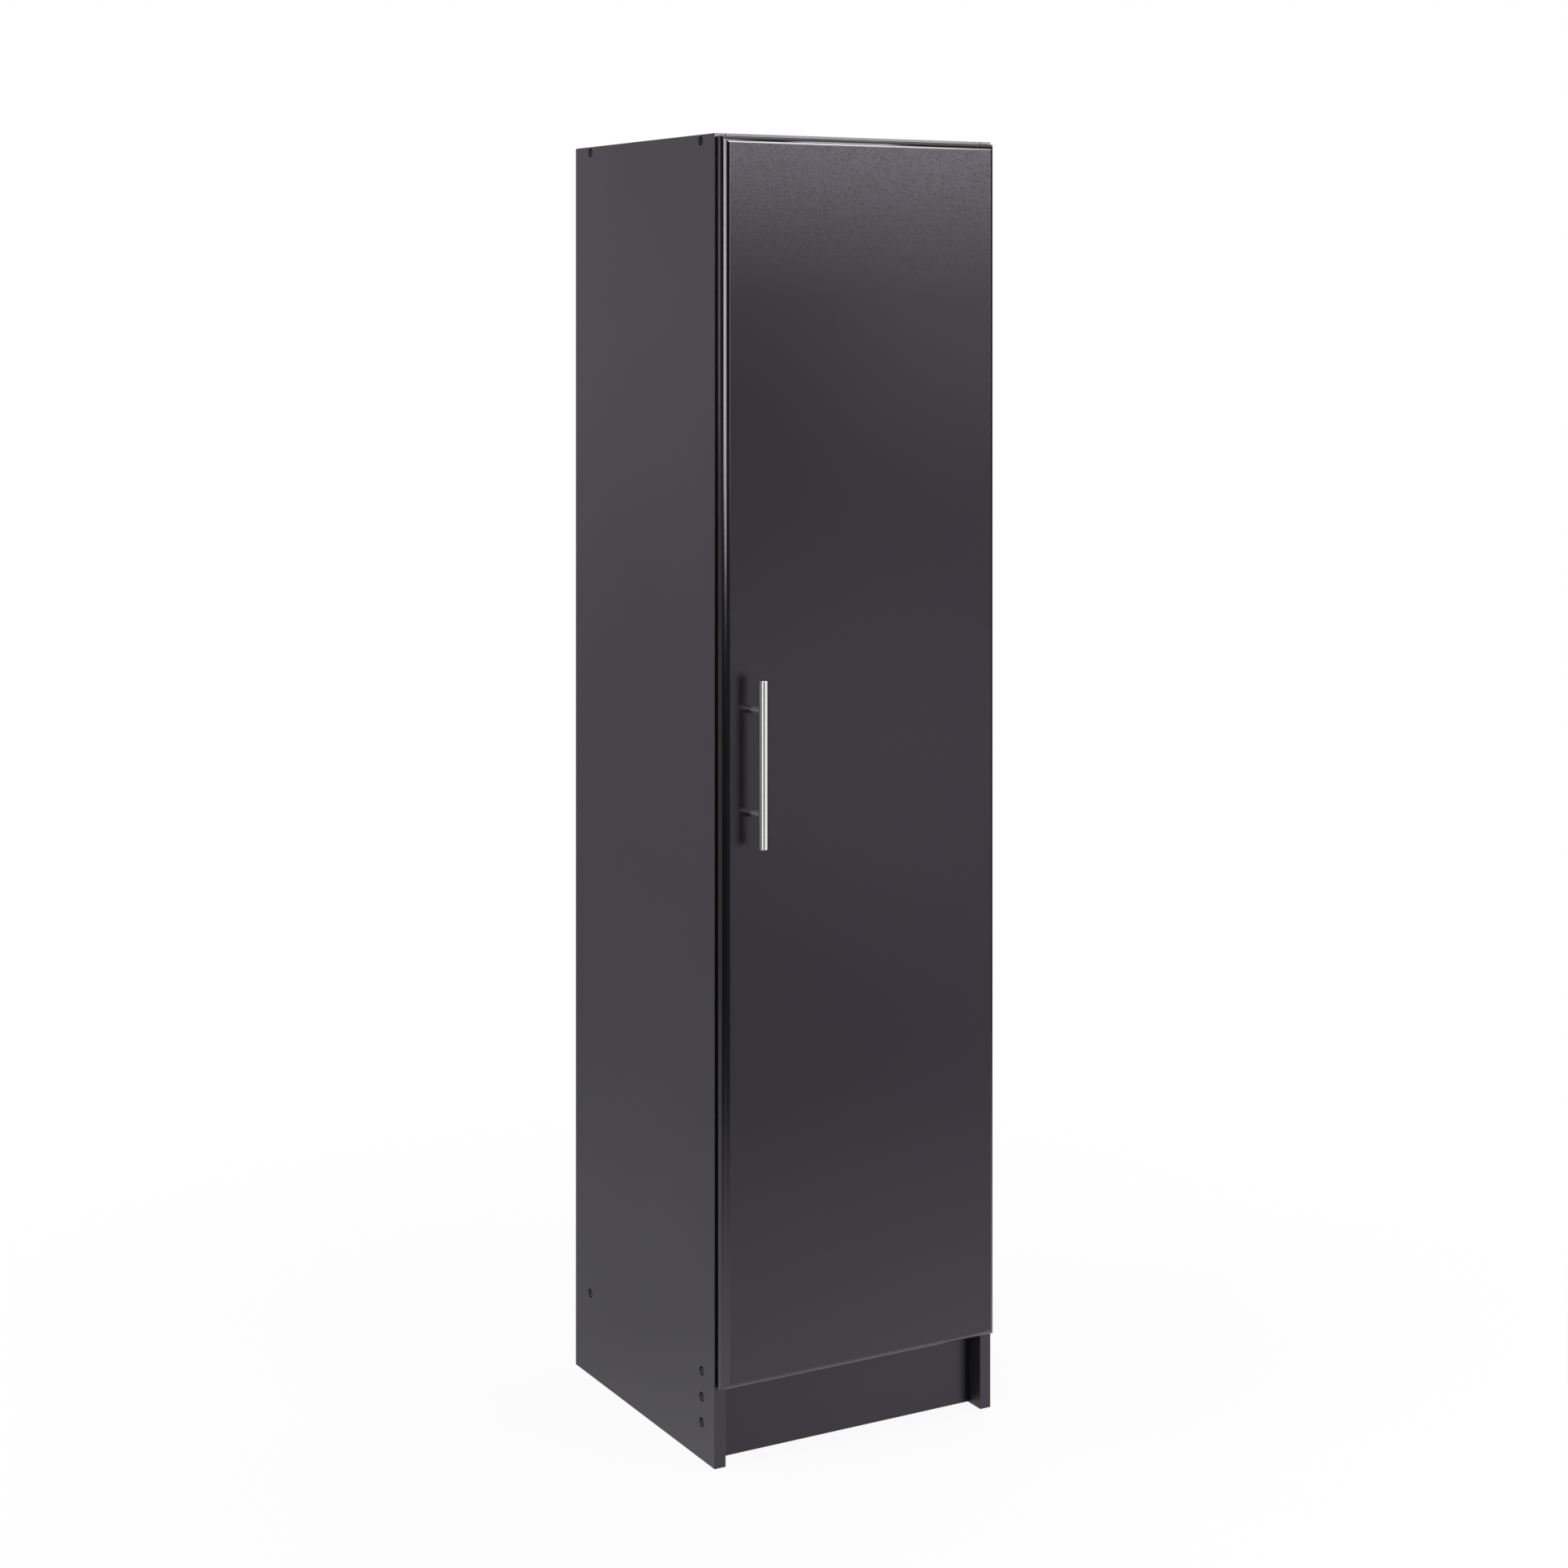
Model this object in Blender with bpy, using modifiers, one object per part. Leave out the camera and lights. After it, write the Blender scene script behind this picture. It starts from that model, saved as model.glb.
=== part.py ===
"""Tall storage cabinet with one full-length door.

A carcass of laminated board stands on its two side panels. One door hangs on the right, on three
cranked-arm cup hinges, and is pulled by a bar handle near its left edge. Behind the door are one
fixed shelf and three loose ones on pins.

Metres, +Z up. The origin is on the floor under the middle of the whole object, the front faces -Y,
and the door's hinge side is +X.
"""
import math

import bmesh
import bpy
from mathutils import Matrix, Vector

# Carcass
CARCASS_WIDTH = 0.4064
CARCASS_DEPTH = 0.4064
CARCASS_HEIGHT = 1.651
BOARD = 0.0159
EDGE_ARRIS = 0.0004
TOE_HEIGHT = 0.103
KICK_SETBACK = 0.026
KICK_FLOOR_GAP = 0.002
BACK_THICKNESS = 0.003
BACK_INSET = 0.009
BACK_TOP_DROP = 0.001
GROOVE_DEPTH = 0.006

# Shelves
FIXED_SHELF_TOP = 0.800
FIXED_SHELF_SETBACK = 0.010
LOOSE_SHELF_SETBACK = 0.020
LOOSE_SHELF_REAR_GAP = 0.003
LOOSE_SHELF_SIDE_GAP = 0.0017
UPPER_SHELF_COUNT = 2
LOWER_SHELF_COUNT = 1

# Boring pattern of the side panels
PITCH = 0.032
FRONT_LINE = 0.037
REAR_PIN_LINE_MARGIN = 0.060
PIN_ROW_REACH = 2
PIN_HOLE_RADIUS = 0.0025
PIN_HOLE_DEPTH = 0.010

# Door and the moulding round its edge
DOOR_THICKNESS = 0.0159
DOOR_GAP = 0.003
DOOR_SIDE_REVEAL = 0.003
DOOR_TOP_REVEAL = 0.0035
DOOR_BOTTOM_LAP = 0.0035
BACK_ARRIS = 0.001
ROUND_WIDTH = 0.0060
ROUND_DEPTH = 0.0068
ROUND_TURN_DEG = 65.0
ROUND_STEPS = 6
STEP_WIDTH = 0.0024
STEP_DEPTH = 0.0041

# Bar handle
HANDLE_FROM_EDGE = 0.040
HANDLE_CENTRES = 0.128
HANDLE_OVERHANG = 0.040
HANDLE_PROJECTION = 0.035
HANDLE_BAR_RADIUS = 0.006
HANDLE_BAR_ARRIS = 0.0008
HANDLE_POST_RADIUS = 0.0046
HANDLE_SCREW_RADIUS = 0.002
HANDLE_SCREW_ENGAGEMENT = 0.014

# Cup hinge, its pin's place and the cup in the door
DOOR_OPENS_DEG = 105.0
HINGE_FROM_DOOR_END = 0.100
MIDDLE_HINGE_ABOVE_SHELF = 0.075
PIN_FROM_DOOR_EDGE = 0.007
PIN_BEHIND_DOOR_BACK = 0.0060
HINGE_PIN_RADIUS = 0.0009
HINGE_PIN_HALF_LENGTH = 0.0088
HINGE_PIN_CLEARANCE = 0.0001
CUP_FROM_DOOR_EDGE = 0.003
CUP_BORE_RADIUS = 0.0175
CUP_BORE_DEPTH = 0.0090
CUP_DEPTH = 0.0087
CUP_WALL = 0.0007
CUP_FLOOR = 0.0007
CUP_RIM_WIDTH = 0.0008
CUP_FLANGE_THICKNESS = 0.0010
CUP_FLANGE_WIDTH = 0.014
CUP_FLANGE_LENGTH = 0.057
CUP_FLANGE_CORNER = 0.0059
CUP_PEG_OFFSET = 0.0095
CUP_PEG_CENTRES = 0.045
CUP_PEG_RADIUS = 0.004
CUP_PEG_LENGTH = 0.008

# Cranked arm and mounting plate, measured from the side panel's inner face and the carcass front
KNUCKLE_RADIUS = 0.0018
KNUCKLE_HALF_HEIGHT = 0.0044
CRANK_INNER_FROM_PIN = 0.0095
CRANK_THICKNESS = 0.003
ARM_FRONT = 0.008
ARM_NOSE = 0.006
ARM_LENGTH = 0.054
ARM_HALF_WIDTH = 0.0068
ARM_WALL = 0.0015
ARM_STANDOFF = 0.0032
ARM_RISE = 0.0063
PLATE_THICKNESS = 0.002
PLATE_WIDTH = 0.018
PLATE_LENGTH = 0.050
PLATE_CORNER = 0.004
PLATE_BLOCK_LENGTH = 0.042
ARM_SCREW_SPACING = 0.026
ARM_SCREW_FROM_BLOCK_END = 0.008
ARM_SCREW_REACH = 0.004

# Fasteners and small pieces
PANEL_SCREW_RADIUS = 0.0024
PANEL_SCREW_LENGTH = 0.046
PANEL_SCREW_HEAD_RADIUS = 0.0044
PANEL_SCREW_HEAD_HEIGHT = 0.0024
COUNTERBORE_RADIUS = 0.006
COUNTERBORE_DEPTH = 0.003
REAR_SCREW_INSET = 0.047
PLUG_RADIUS = 0.0022
PLUG_LENGTH = 0.009
SHELF_PIN_PEG_RADIUS = 0.0025
SHELF_PIN_PEG_LENGTH = 0.007
SHELF_PIN_COLLAR_RADIUS = 0.004
SHELF_PIN_COLLAR = 0.0012
DOWEL_RADIUS = 0.004
DOWEL_ARRIS = 0.0008
DOWEL_IN_SIDE = 0.010
DOWEL_IN_SHELF = 0.020
SMALL_HEAD_RADIUS = 0.0034
SMALL_HEAD_HEIGHT = 0.0013
HEAD_CROWN_SHARE = 0.75
HEAD_WALL_SHARE = 0.45
BUMPER_RADIUS = 0.004
BUMPER_ARRIS = 0.001
BUMPER_FROM_DOOR_END = 0.030

# Fits
FIT_GAP = 0.0003
OVERRUN = 0.002
SMALL_SEGMENTS = 10
ROUND_SEGMENTS = 20
BAR_SEGMENTS = 32
CUP_SEGMENTS = 36
SHARP_EDGE_DEG = 35
WELD = 0.000005

# Places worked out from the sizes above
LEFT_X = -CARCASS_WIDTH / 2
RIGHT_X = CARCASS_WIDTH / 2
INNER_LEFT = LEFT_X + BOARD
INNER_RIGHT = RIGHT_X - BOARD
DOOR_PROUD = DOOR_GAP + DOOR_THICKNESS
FRONT_Y = (DOOR_PROUD + HANDLE_PROJECTION - CARCASS_DEPTH) / 2
REAR_Y = FRONT_Y + CARCASS_DEPTH
BACK_REAR_Y = REAR_Y - BACK_INSET
BACK_FRONT_Y = BACK_REAR_Y - BACK_THICKNESS
BOARD_REAR_Y = BACK_FRONT_Y - FIT_GAP
TOP_SCREW_Z = CARCASS_HEIGHT - BOARD / 2
BOTTOM_SCREW_Z = TOE_HEIGHT + BOARD / 2
KICK_LINE = KICK_SETBACK + BOARD / 2
REAR_LINE = CARCASS_DEPTH - REAR_SCREW_INSET
PIN_LINE_REACH = BACK_FRONT_Y - FRONT_Y - FRONT_LINE - REAR_PIN_LINE_MARGIN
PIN_LINE_SPACING = math.floor(PIN_LINE_REACH / PITCH) * PITCH
PIN_LINES = {"front": FRONT_LINE, "rear": FRONT_LINE + PIN_LINE_SPACING}
SIDES = {"left": -1, "right": 1}
FIXED_SHELF_Z = FIXED_SHELF_TOP - BOARD / 2

DOOR_LEFT = LEFT_X + DOOR_SIDE_REVEAL
DOOR_RIGHT = RIGHT_X - DOOR_SIDE_REVEAL
DOOR_BOTTOM = TOE_HEIGHT - DOOR_BOTTOM_LAP
DOOR_TOP = CARCASS_HEIGHT - DOOR_TOP_REVEAL
DOOR_BACK_Y = FRONT_Y - DOOR_GAP
DOOR_FACE_Y = DOOR_BACK_Y - DOOR_THICKNESS
DOOR_MIDDLE_Z = (DOOR_BOTTOM + DOOR_TOP) / 2
HANDLE_X = DOOR_LEFT + HANDLE_FROM_EDGE
HANDLE_BAR_Y = DOOR_FACE_Y - HANDLE_PROJECTION + HANDLE_BAR_RADIUS
HANDLE_POST_Z = {
    "upper": DOOR_MIDDLE_Z + HANDLE_CENTRES / 2,
    "lower": DOOR_MIDDLE_Z - HANDLE_CENTRES / 2,
}

PIN_X = DOOR_RIGHT - PIN_FROM_DOOR_EDGE
PIN_Y = DOOR_BACK_Y - PIN_BEHIND_DOOR_BACK
CUP_X = DOOR_RIGHT - CUP_FROM_DOOR_EDGE - CUP_BORE_RADIUS
HINGES = {
    "upper": DOOR_TOP - HINGE_FROM_DOOR_END,
    "middle": FIXED_SHELF_TOP + MIDDLE_HINGE_ABOVE_SHELF,
    "lower": DOOR_BOTTOM + HINGE_FROM_DOOR_END,
}
PLATE_LINE_Y = FRONT_Y + FRONT_LINE
BLOCK_REAR_Y = FRONT_Y + ARM_FRONT + ARM_LENGTH - FIT_GAP
BLOCK_RISE = ARM_STANDOFF + ARM_RISE - ARM_WALL - FIT_GAP
ARM_SCREW_REAR_Y = BLOCK_REAR_Y - ARM_SCREW_FROM_BLOCK_END
ARM_SCREW_Y = [ARM_SCREW_REAR_Y, ARM_SCREW_REAR_Y - ARM_SCREW_SPACING]


def bay_undersides(low, high, count):
    """Heights of the undersides of count loose shelves that divide a bay evenly."""
    space = (high - low - count * BOARD) / (count + 1)
    return [low + (index + 1) * space + index * BOARD for index in range(count)]


LOWER_BAY = bay_undersides(TOE_HEIGHT + BOARD, FIXED_SHELF_TOP - BOARD, LOWER_SHELF_COUNT)
UPPER_BAY = bay_undersides(FIXED_SHELF_TOP, CARCASS_HEIGHT - BOARD, UPPER_SHELF_COUNT)
LOOSE_SHELVES = dict(zip(("lower", "middle", "upper"), LOWER_BAY + UPPER_BAY))
PIN_DROP = SHELF_PIN_PEG_RADIUS + FIT_GAP

# Collections and finishes


def clear_scene():
    for old in list(bpy.data.objects):
        bpy.data.objects.remove(old, do_unlink=True)


def new_collection(name):
    collection = bpy.data.collections.new(name)
    bpy.context.scene.collection.children.link(collection)
    return collection


def finish(name, colour, roughness, metallic=0.0):
    material = bpy.data.materials.new(name)
    material.use_nodes = True
    shader = material.node_tree.nodes["Principled BSDF"]
    shader.inputs["Base Color"].default_value = (*colour, 1.0)
    shader.inputs["Roughness"].default_value = roughness
    shader.inputs["Metallic"].default_value = metallic
    material.diffuse_color = (*colour, 1.0)
    return material


clear_scene()
CABINET = new_collection("storage_cabinet")
CUTTERS = new_collection("cutters")
CARCASS_BOARD = finish("graphite_laminate_board", (0.085, 0.083, 0.093), 0.55)
DOOR_FOIL = finish("pebbled_charcoal_foil", (0.066, 0.065, 0.072), 0.42)
BACK_BOARD = finish("graphite_hardboard", (0.070, 0.069, 0.076), 0.70)
NICKEL = finish("satin_nickel", (0.62, 0.60, 0.57), 0.28, 1.0)
STEEL = finish("plated_hinge_steel", (0.56, 0.55, 0.53), 0.35, 1.0)
ZINC = finish("zinc_plated_screw", (0.50, 0.50, 0.48), 0.38, 1.0)
BLACK_OXIDE = finish("black_oxide_screw", (0.060, 0.060, 0.064), 0.45, 1.0)
BEECH = finish("beech_dowel", (0.52, 0.34, 0.18), 0.65)
CLEAR_PAD = finish("soft_clear_pad", (0.70, 0.70, 0.68), 0.45)

# Mesh and object helpers


def link(name, mesh, material, place, parent=None, towards=None):
    """Put a mesh into the cabinet as one named piece, its +Z turned towards a world direction."""
    piece = bpy.data.objects.new(name, mesh)
    piece.data.materials.clear()
    piece.data.materials.append(material)
    CABINET.objects.link(piece)
    piece.location = Vector(place)
    if parent is not None:
        piece.parent = parent
        piece.location -= parent.location
    if towards is not None:
        piece.rotation_euler = facing(towards).to_euler()
    return piece


def mesh_from(bm, name, smooth=True):
    bmesh.ops.recalc_face_normals(bm, faces=bm.faces)
    mesh = bpy.data.meshes.new(name)
    bm.to_mesh(mesh)
    bm.free()
    if smooth:
        mesh.shade_smooth()
        mesh.set_sharp_from_angle(angle=math.radians(SHARP_EDGE_DEG))
    return mesh


def evaluated_mesh(source):
    """The mesh that an object has after its modifiers, with loose caps welded."""
    bpy.context.view_layer.update()
    depsgraph = bpy.context.evaluated_depsgraph_get()
    mesh = bpy.data.meshes.new_from_object(source.evaluated_get(depsgraph))
    bm = bmesh.new()
    bm.from_mesh(mesh)
    bmesh.ops.remove_doubles(bm, verts=bm.verts, dist=WELD)
    bmesh.ops.recalc_face_normals(bm, faces=bm.faces)
    bm.to_mesh(mesh)
    bm.free()
    return mesh


def facing(direction):
    """Rotation that turns local +Z to a world direction."""
    return Vector(direction).to_track_quat("Z", "Y").to_matrix().to_4x4()


def add_box(bm, low, high):
    size = Vector(high) - Vector(low)
    middle = (Vector(high) + Vector(low)) / 2
    matrix = Matrix.Translation(middle) @ Matrix.Diagonal((*size, 1.0))
    return bmesh.ops.create_cube(bm, size=1.0, matrix=matrix)["verts"]


def add_rod(bm, start, direction, length, radius, segments):
    """A closed cylinder that runs from start along direction."""
    along = Vector(direction).normalized()
    matrix = Matrix.Translation(Vector(start) + along * length / 2) @ facing(along)
    bmesh.ops.create_cone(bm, cap_ends=True, segments=segments, radius1=radius, radius2=radius,
                          depth=length, matrix=matrix)


def box_mesh(name, low, high, arris=0.0):
    """A box whose mesh is centred on its own middle; its edges may carry a small arris."""
    half = (Vector(high) - Vector(low)) / 2
    bm = bmesh.new()
    add_box(bm, -half, half)
    if arris > 0:
        bmesh.ops.bevel(bm, geom=bm.edges[:], offset=arris, offset_type="OFFSET", segments=1,
                        profile=0.5, affect="EDGES", material=-1)
    return mesh_from(bm, name, smooth=False)


def board(name, low, high, material):
    place = (Vector(low) + Vector(high)) / 2
    return link(name, box_mesh(name, low, high, EDGE_ARRIS), material, place)


def turned_mesh(name, profile, steps):
    """A turned shape: (radius, height) points from the top down, on the axis at both ends."""
    mesh = bpy.data.meshes.new(name)
    bm = bmesh.new()
    points = [bm.verts.new((radius, 0, height)) for radius, height in profile]
    for upper, lower in zip(points, points[1:]):
        bm.edges.new((upper, lower))
    bm.to_mesh(mesh)
    bm.free()
    lathe = bpy.data.objects.new(name, mesh)
    CUTTERS.objects.link(lathe)
    turn = lathe.modifiers.new("turn", "SCREW")
    turn.steps = steps
    turn.render_steps = steps
    turn.use_merge_vertices = True
    turn.merge_threshold = WELD
    turn.use_smooth_shade = False
    turned = evaluated_mesh(lathe)
    bpy.data.objects.remove(lathe, do_unlink=True)
    turned.shade_smooth()
    turned.set_sharp_from_angle(angle=math.radians(SHARP_EDGE_DEG))
    return turned


def outline_mesh(name, points, thickness):
    """A flat outline in the XY plane, extruded evenly to both sides of z = 0."""
    curve = bpy.data.curves.new(name, "CURVE")
    curve.dimensions = "2D"
    curve.fill_mode = "BOTH"
    curve.extrude = thickness / 2
    spline = curve.splines.new("POLY")
    spline.points.add(len(points) - 1)
    for target, (x, y) in zip(spline.points, points):
        target.co = (x, y, 0, 1)
    spline.use_cyclic_u = True
    flat = bpy.data.objects.new(name, curve)
    CUTTERS.objects.link(flat)
    mesh = evaluated_mesh(flat)
    bpy.data.objects.remove(flat, do_unlink=True)
    return mesh


def arc(centre, radius, start_deg, end_deg, steps):
    """Points on a circle from one angle to another, both included."""
    turn = math.radians(end_deg - start_deg) / steps
    first = math.radians(start_deg)
    angles = [first + turn * step for step in range(steps + 1)]
    return [(centre[0] + radius * math.cos(a), centre[1] + radius * math.sin(a)) for a in angles]


def rounded_rectangle(width, length, corner, steps=3):
    x, y = width / 2 - corner, length / 2 - corner
    points = []
    for centre, start in (((x, y), 0), ((-x, y), 90), ((-x, -y), 180), ((x, -y), 270)):
        points += arc(centre, corner, start, start + 90, steps)
    return points


def boolean(target, operation, name, mesh):
    """Cut or join a mesh given in world coordinates."""
    tool = bpy.data.objects.new(name, mesh)
    CUTTERS.objects.link(tool)
    tool.hide_render = True
    tool.display_type = "WIRE"
    step = target.modifiers.new(name, "BOOLEAN")
    step.operation = operation
    step.solver = "EXACT"
    step.object = tool
    return tool


def drill(target, name, holes, segments=SMALL_SEGMENTS):
    """Bore round holes: each is its mouth, its direction into the material, radius and depth."""
    bm = bmesh.new()
    for mouth, direction, radius, depth in holes:
        along = Vector(direction).normalized()
        add_rod(bm, Vector(mouth) - along * OVERRUN, along, depth + OVERRUN, radius, segments)
    boolean(target, "DIFFERENCE", name, mesh_from(bm, name, smooth=False))


def screw_profile(radius, length, head_radius, head_height):
    """A pan-head screw on +Z: the underside of its head is at z = 0 and its point looks down."""
    crown, wall = head_radius * HEAD_CROWN_SHARE, head_height * HEAD_WALL_SHARE
    return [(0, head_height), (crown, head_height), (head_radius, wall), (head_radius, 0),
            (radius, 0), (radius, -length + radius * 2), (0, -length)]


def rod_profile(radius, top, bottom, arris):
    """A plain round rod on Z with an arris at both ends."""
    return [(0, top), (radius - arris, top), (radius, top - arris),
            (radius, bottom + arris), (radius - arris, bottom), (0, bottom)]


# The carcass

PANEL_SCREWS = {
    "top_front": (FRONT_LINE, TOP_SCREW_Z, "top_panel"),
    "top_rear": (REAR_LINE, TOP_SCREW_Z, "top_panel"),
    "bottom_front": (KICK_LINE, BOTTOM_SCREW_Z, "bottom_panel"),
    "bottom_rear": (REAR_LINE, BOTTOM_SCREW_Z, "bottom_panel"),
    "kick_upper": (KICK_LINE, BOTTOM_SCREW_Z - PITCH, "kick_plate"),
    "kick_lower": (KICK_LINE, BOTTOM_SCREW_Z - 2 * PITCH, "kick_plate"),
}


def shelf_pin_holes():
    """Distance behind the front and height of every shelf pin hole in a side panel."""
    holes = []
    for underside in LOOSE_SHELVES.values():
        for row in range(-PIN_ROW_REACH, PIN_ROW_REACH + 1):
            holes += [(line, underside - PIN_DROP + row * PITCH) for line in PIN_LINES.values()]
    return holes


def side_panel(name, side):
    """side is -1 for the left panel and +1 for the right one."""
    outer = side * CARCASS_WIDTH / 2
    inner = outer - side * BOARD
    low = (min(outer, inner), FRONT_Y, 0)
    high = (max(outer, inner), REAR_Y, CARCASS_HEIGHT)
    panel = board(name, low, high, CARCASS_BOARD)

    groove_end = inner + side * GROOVE_DEPTH
    mouth = inner - side * OVERRUN
    bm = bmesh.new()
    add_box(bm, (min(groove_end, mouth), BACK_FRONT_Y - FIT_GAP, -OVERRUN),
            (max(groove_end, mouth), BACK_REAR_Y + FIT_GAP, CARCASS_HEIGHT + OVERRUN))
    boolean(panel, "DIFFERENCE", name + "_groove", mesh_from(bm, name + "_groove", smooth=False))

    inward, outward = (-side, 0, 0), (side, 0, 0)
    shanks, mouths = [], []
    for line, height, _ in PANEL_SCREWS.values():
        mouth = (outer, FRONT_Y + line, height)
        shanks.append((mouth, inward, PANEL_SCREW_RADIUS + FIT_GAP, BOARD + OVERRUN))
        mouths.append((mouth, inward, COUNTERBORE_RADIUS, COUNTERBORE_DEPTH))
    drill(panel, name + "_screw_holes", shanks)
    drill(panel, name + "_counterbores", mouths, ROUND_SEGMENTS)

    pin_places = [(inner, FRONT_Y + line, height) for line, height in shelf_pin_holes()]
    if side > 0:
        pin_places += [(inner, PLATE_LINE_Y, middle + sign * PITCH / 2)
                       for middle in HINGES.values() for sign in (-1, 1)]
    bores = [(place, outward, PIN_HOLE_RADIUS, PIN_HOLE_DEPTH) for place in pin_places]
    for line in PIN_LINES.values():
        bores.append(((inner, FRONT_Y + line, FIXED_SHELF_Z), outward,
                      DOWEL_RADIUS + FIT_GAP, DOWEL_IN_SIDE + FIT_GAP))
    drill(panel, name + "_inner_bores", bores)
    return panel


def end_bores(owner, radius, depth):
    """Screw bores in both ends of a horizontal board."""
    holes = []
    for side in (-1, 1):
        end = side * (CARCASS_WIDTH / 2 - BOARD - FIT_GAP)
        for line, height, name in PANEL_SCREWS.values():
            if name == owner:
                holes.append(((end, FRONT_Y + line, height), (-side, 0, 0), radius, depth))
    return holes


def horizontal(name, underside, front_y):
    low = (INNER_LEFT + FIT_GAP, front_y, underside)
    high = (INNER_RIGHT - FIT_GAP, BOARD_REAR_Y, underside + BOARD)
    return board(name, low, high, CARCASS_BOARD)


def screw_bore_depth():
    return PANEL_SCREW_LENGTH - (BOARD - COUNTERBORE_DEPTH) + FIT_GAP


def carcass():
    side_panel("left_side_panel", -1)
    side_panel("right_side_panel", 1)
    top = horizontal("top_panel", CARCASS_HEIGHT - BOARD, FRONT_Y)
    bottom = horizontal("bottom_panel", TOE_HEIGHT, FRONT_Y)
    low = (INNER_LEFT + FIT_GAP, FRONT_Y + KICK_SETBACK, KICK_FLOOR_GAP)
    high = (INNER_RIGHT - FIT_GAP, FRONT_Y + KICK_SETBACK + BOARD, TOE_HEIGHT - FIT_GAP)
    kick = board("kick_plate", low, high, CARCASS_BOARD)
    for panel in (top, bottom, kick):
        holes = end_bores(panel.name, PANEL_SCREW_RADIUS + FIT_GAP, screw_bore_depth())
        drill(panel, panel.name + "_end_bores", holes)

    reach = GROOVE_DEPTH - FIT_GAP
    low = (INNER_LEFT - reach, BACK_FRONT_Y, TOE_HEIGHT)
    high = (INNER_RIGHT + reach, BACK_REAR_Y, CARCASS_HEIGHT - BACK_TOP_DROP)
    middle = (Vector(low) + Vector(high)) / 2
    link("back_panel", box_mesh("back_panel", low, high), BACK_BOARD, middle)

    profile = screw_profile(PANEL_SCREW_RADIUS, PANEL_SCREW_LENGTH,
                            PANEL_SCREW_HEAD_RADIUS, PANEL_SCREW_HEAD_HEIGHT)
    screw = turned_mesh("panel_screw", profile, SMALL_SEGMENTS)
    for label, side in SIDES.items():
        seat = side * (CARCASS_WIDTH / 2 - COUNTERBORE_DEPTH + FIT_GAP)
        for spot, (line, height, _) in PANEL_SCREWS.items():
            place = (seat, FRONT_Y + line, height)
            link(label + "_screw_" + spot, screw, BLACK_OXIDE, place, towards=(side, 0, 0))


# Shelves


def fixed_shelf():
    """The middle shelf ties the sides: it is glued to them on dowels, so nothing shows outside."""
    shelf = horizontal("fixed_shelf", FIXED_SHELF_TOP - BOARD, FRONT_Y + FIXED_SHELF_SETBACK)
    profile = rod_profile(DOWEL_RADIUS, DOWEL_IN_SHELF, -DOWEL_IN_SIDE, DOWEL_ARRIS)
    dowel = turned_mesh("dowel", profile, SMALL_SEGMENTS)
    bores = []
    for label, side in SIDES.items():
        face = side * (CARCASS_WIDTH / 2 - BOARD)
        inward = (-side, 0, 0)
        for line_label, line in PIN_LINES.items():
            place = (face, FRONT_Y + line, FIXED_SHELF_Z)
            bores.append((place, inward, DOWEL_RADIUS + FIT_GAP, DOWEL_IN_SHELF + FIT_GAP))
            link("shelf_dowel_" + label + "_" + line_label, dowel, BEECH, place, towards=inward)
    drill(shelf, "fixed_shelf_end_bores", bores)


def loose_shelves():
    width = INNER_RIGHT - INNER_LEFT - 2 * LOOSE_SHELF_SIDE_GAP
    peg_end = SHELF_PIN_COLLAR + SHELF_PIN_PEG_LENGTH
    profile = [(0, peg_end), (SHELF_PIN_PEG_RADIUS, peg_end), (SHELF_PIN_PEG_RADIUS, SHELF_PIN_COLLAR),
               (SHELF_PIN_COLLAR_RADIUS, SHELF_PIN_COLLAR), (SHELF_PIN_COLLAR_RADIUS, 0),
               (PLUG_RADIUS, 0), (PLUG_RADIUS, -PLUG_LENGTH), (0, -PLUG_LENGTH)]
    pin = turned_mesh("shelf_pin", profile, SMALL_SEGMENTS)
    for label, underside in LOOSE_SHELVES.items():
        low = (-width / 2, FRONT_Y + LOOSE_SHELF_SETBACK, underside)
        high = (width / 2, BACK_FRONT_Y - LOOSE_SHELF_REAR_GAP, underside + BOARD)
        board("adjustable_shelf_" + label, low, high, CARCASS_BOARD)
        for side_label, side in SIDES.items():
            face = side * (CARCASS_WIDTH / 2 - BOARD - FIT_GAP)
            for line_label, line in PIN_LINES.items():
                name = "shelf_pin_" + label + "_" + side_label + "_" + line_label
                place = (face, FRONT_Y + line, underside - PIN_DROP)
                link(name, pin, ZINC, place, towards=(-side, 0, 0))


# The door, on its swing axis


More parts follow.
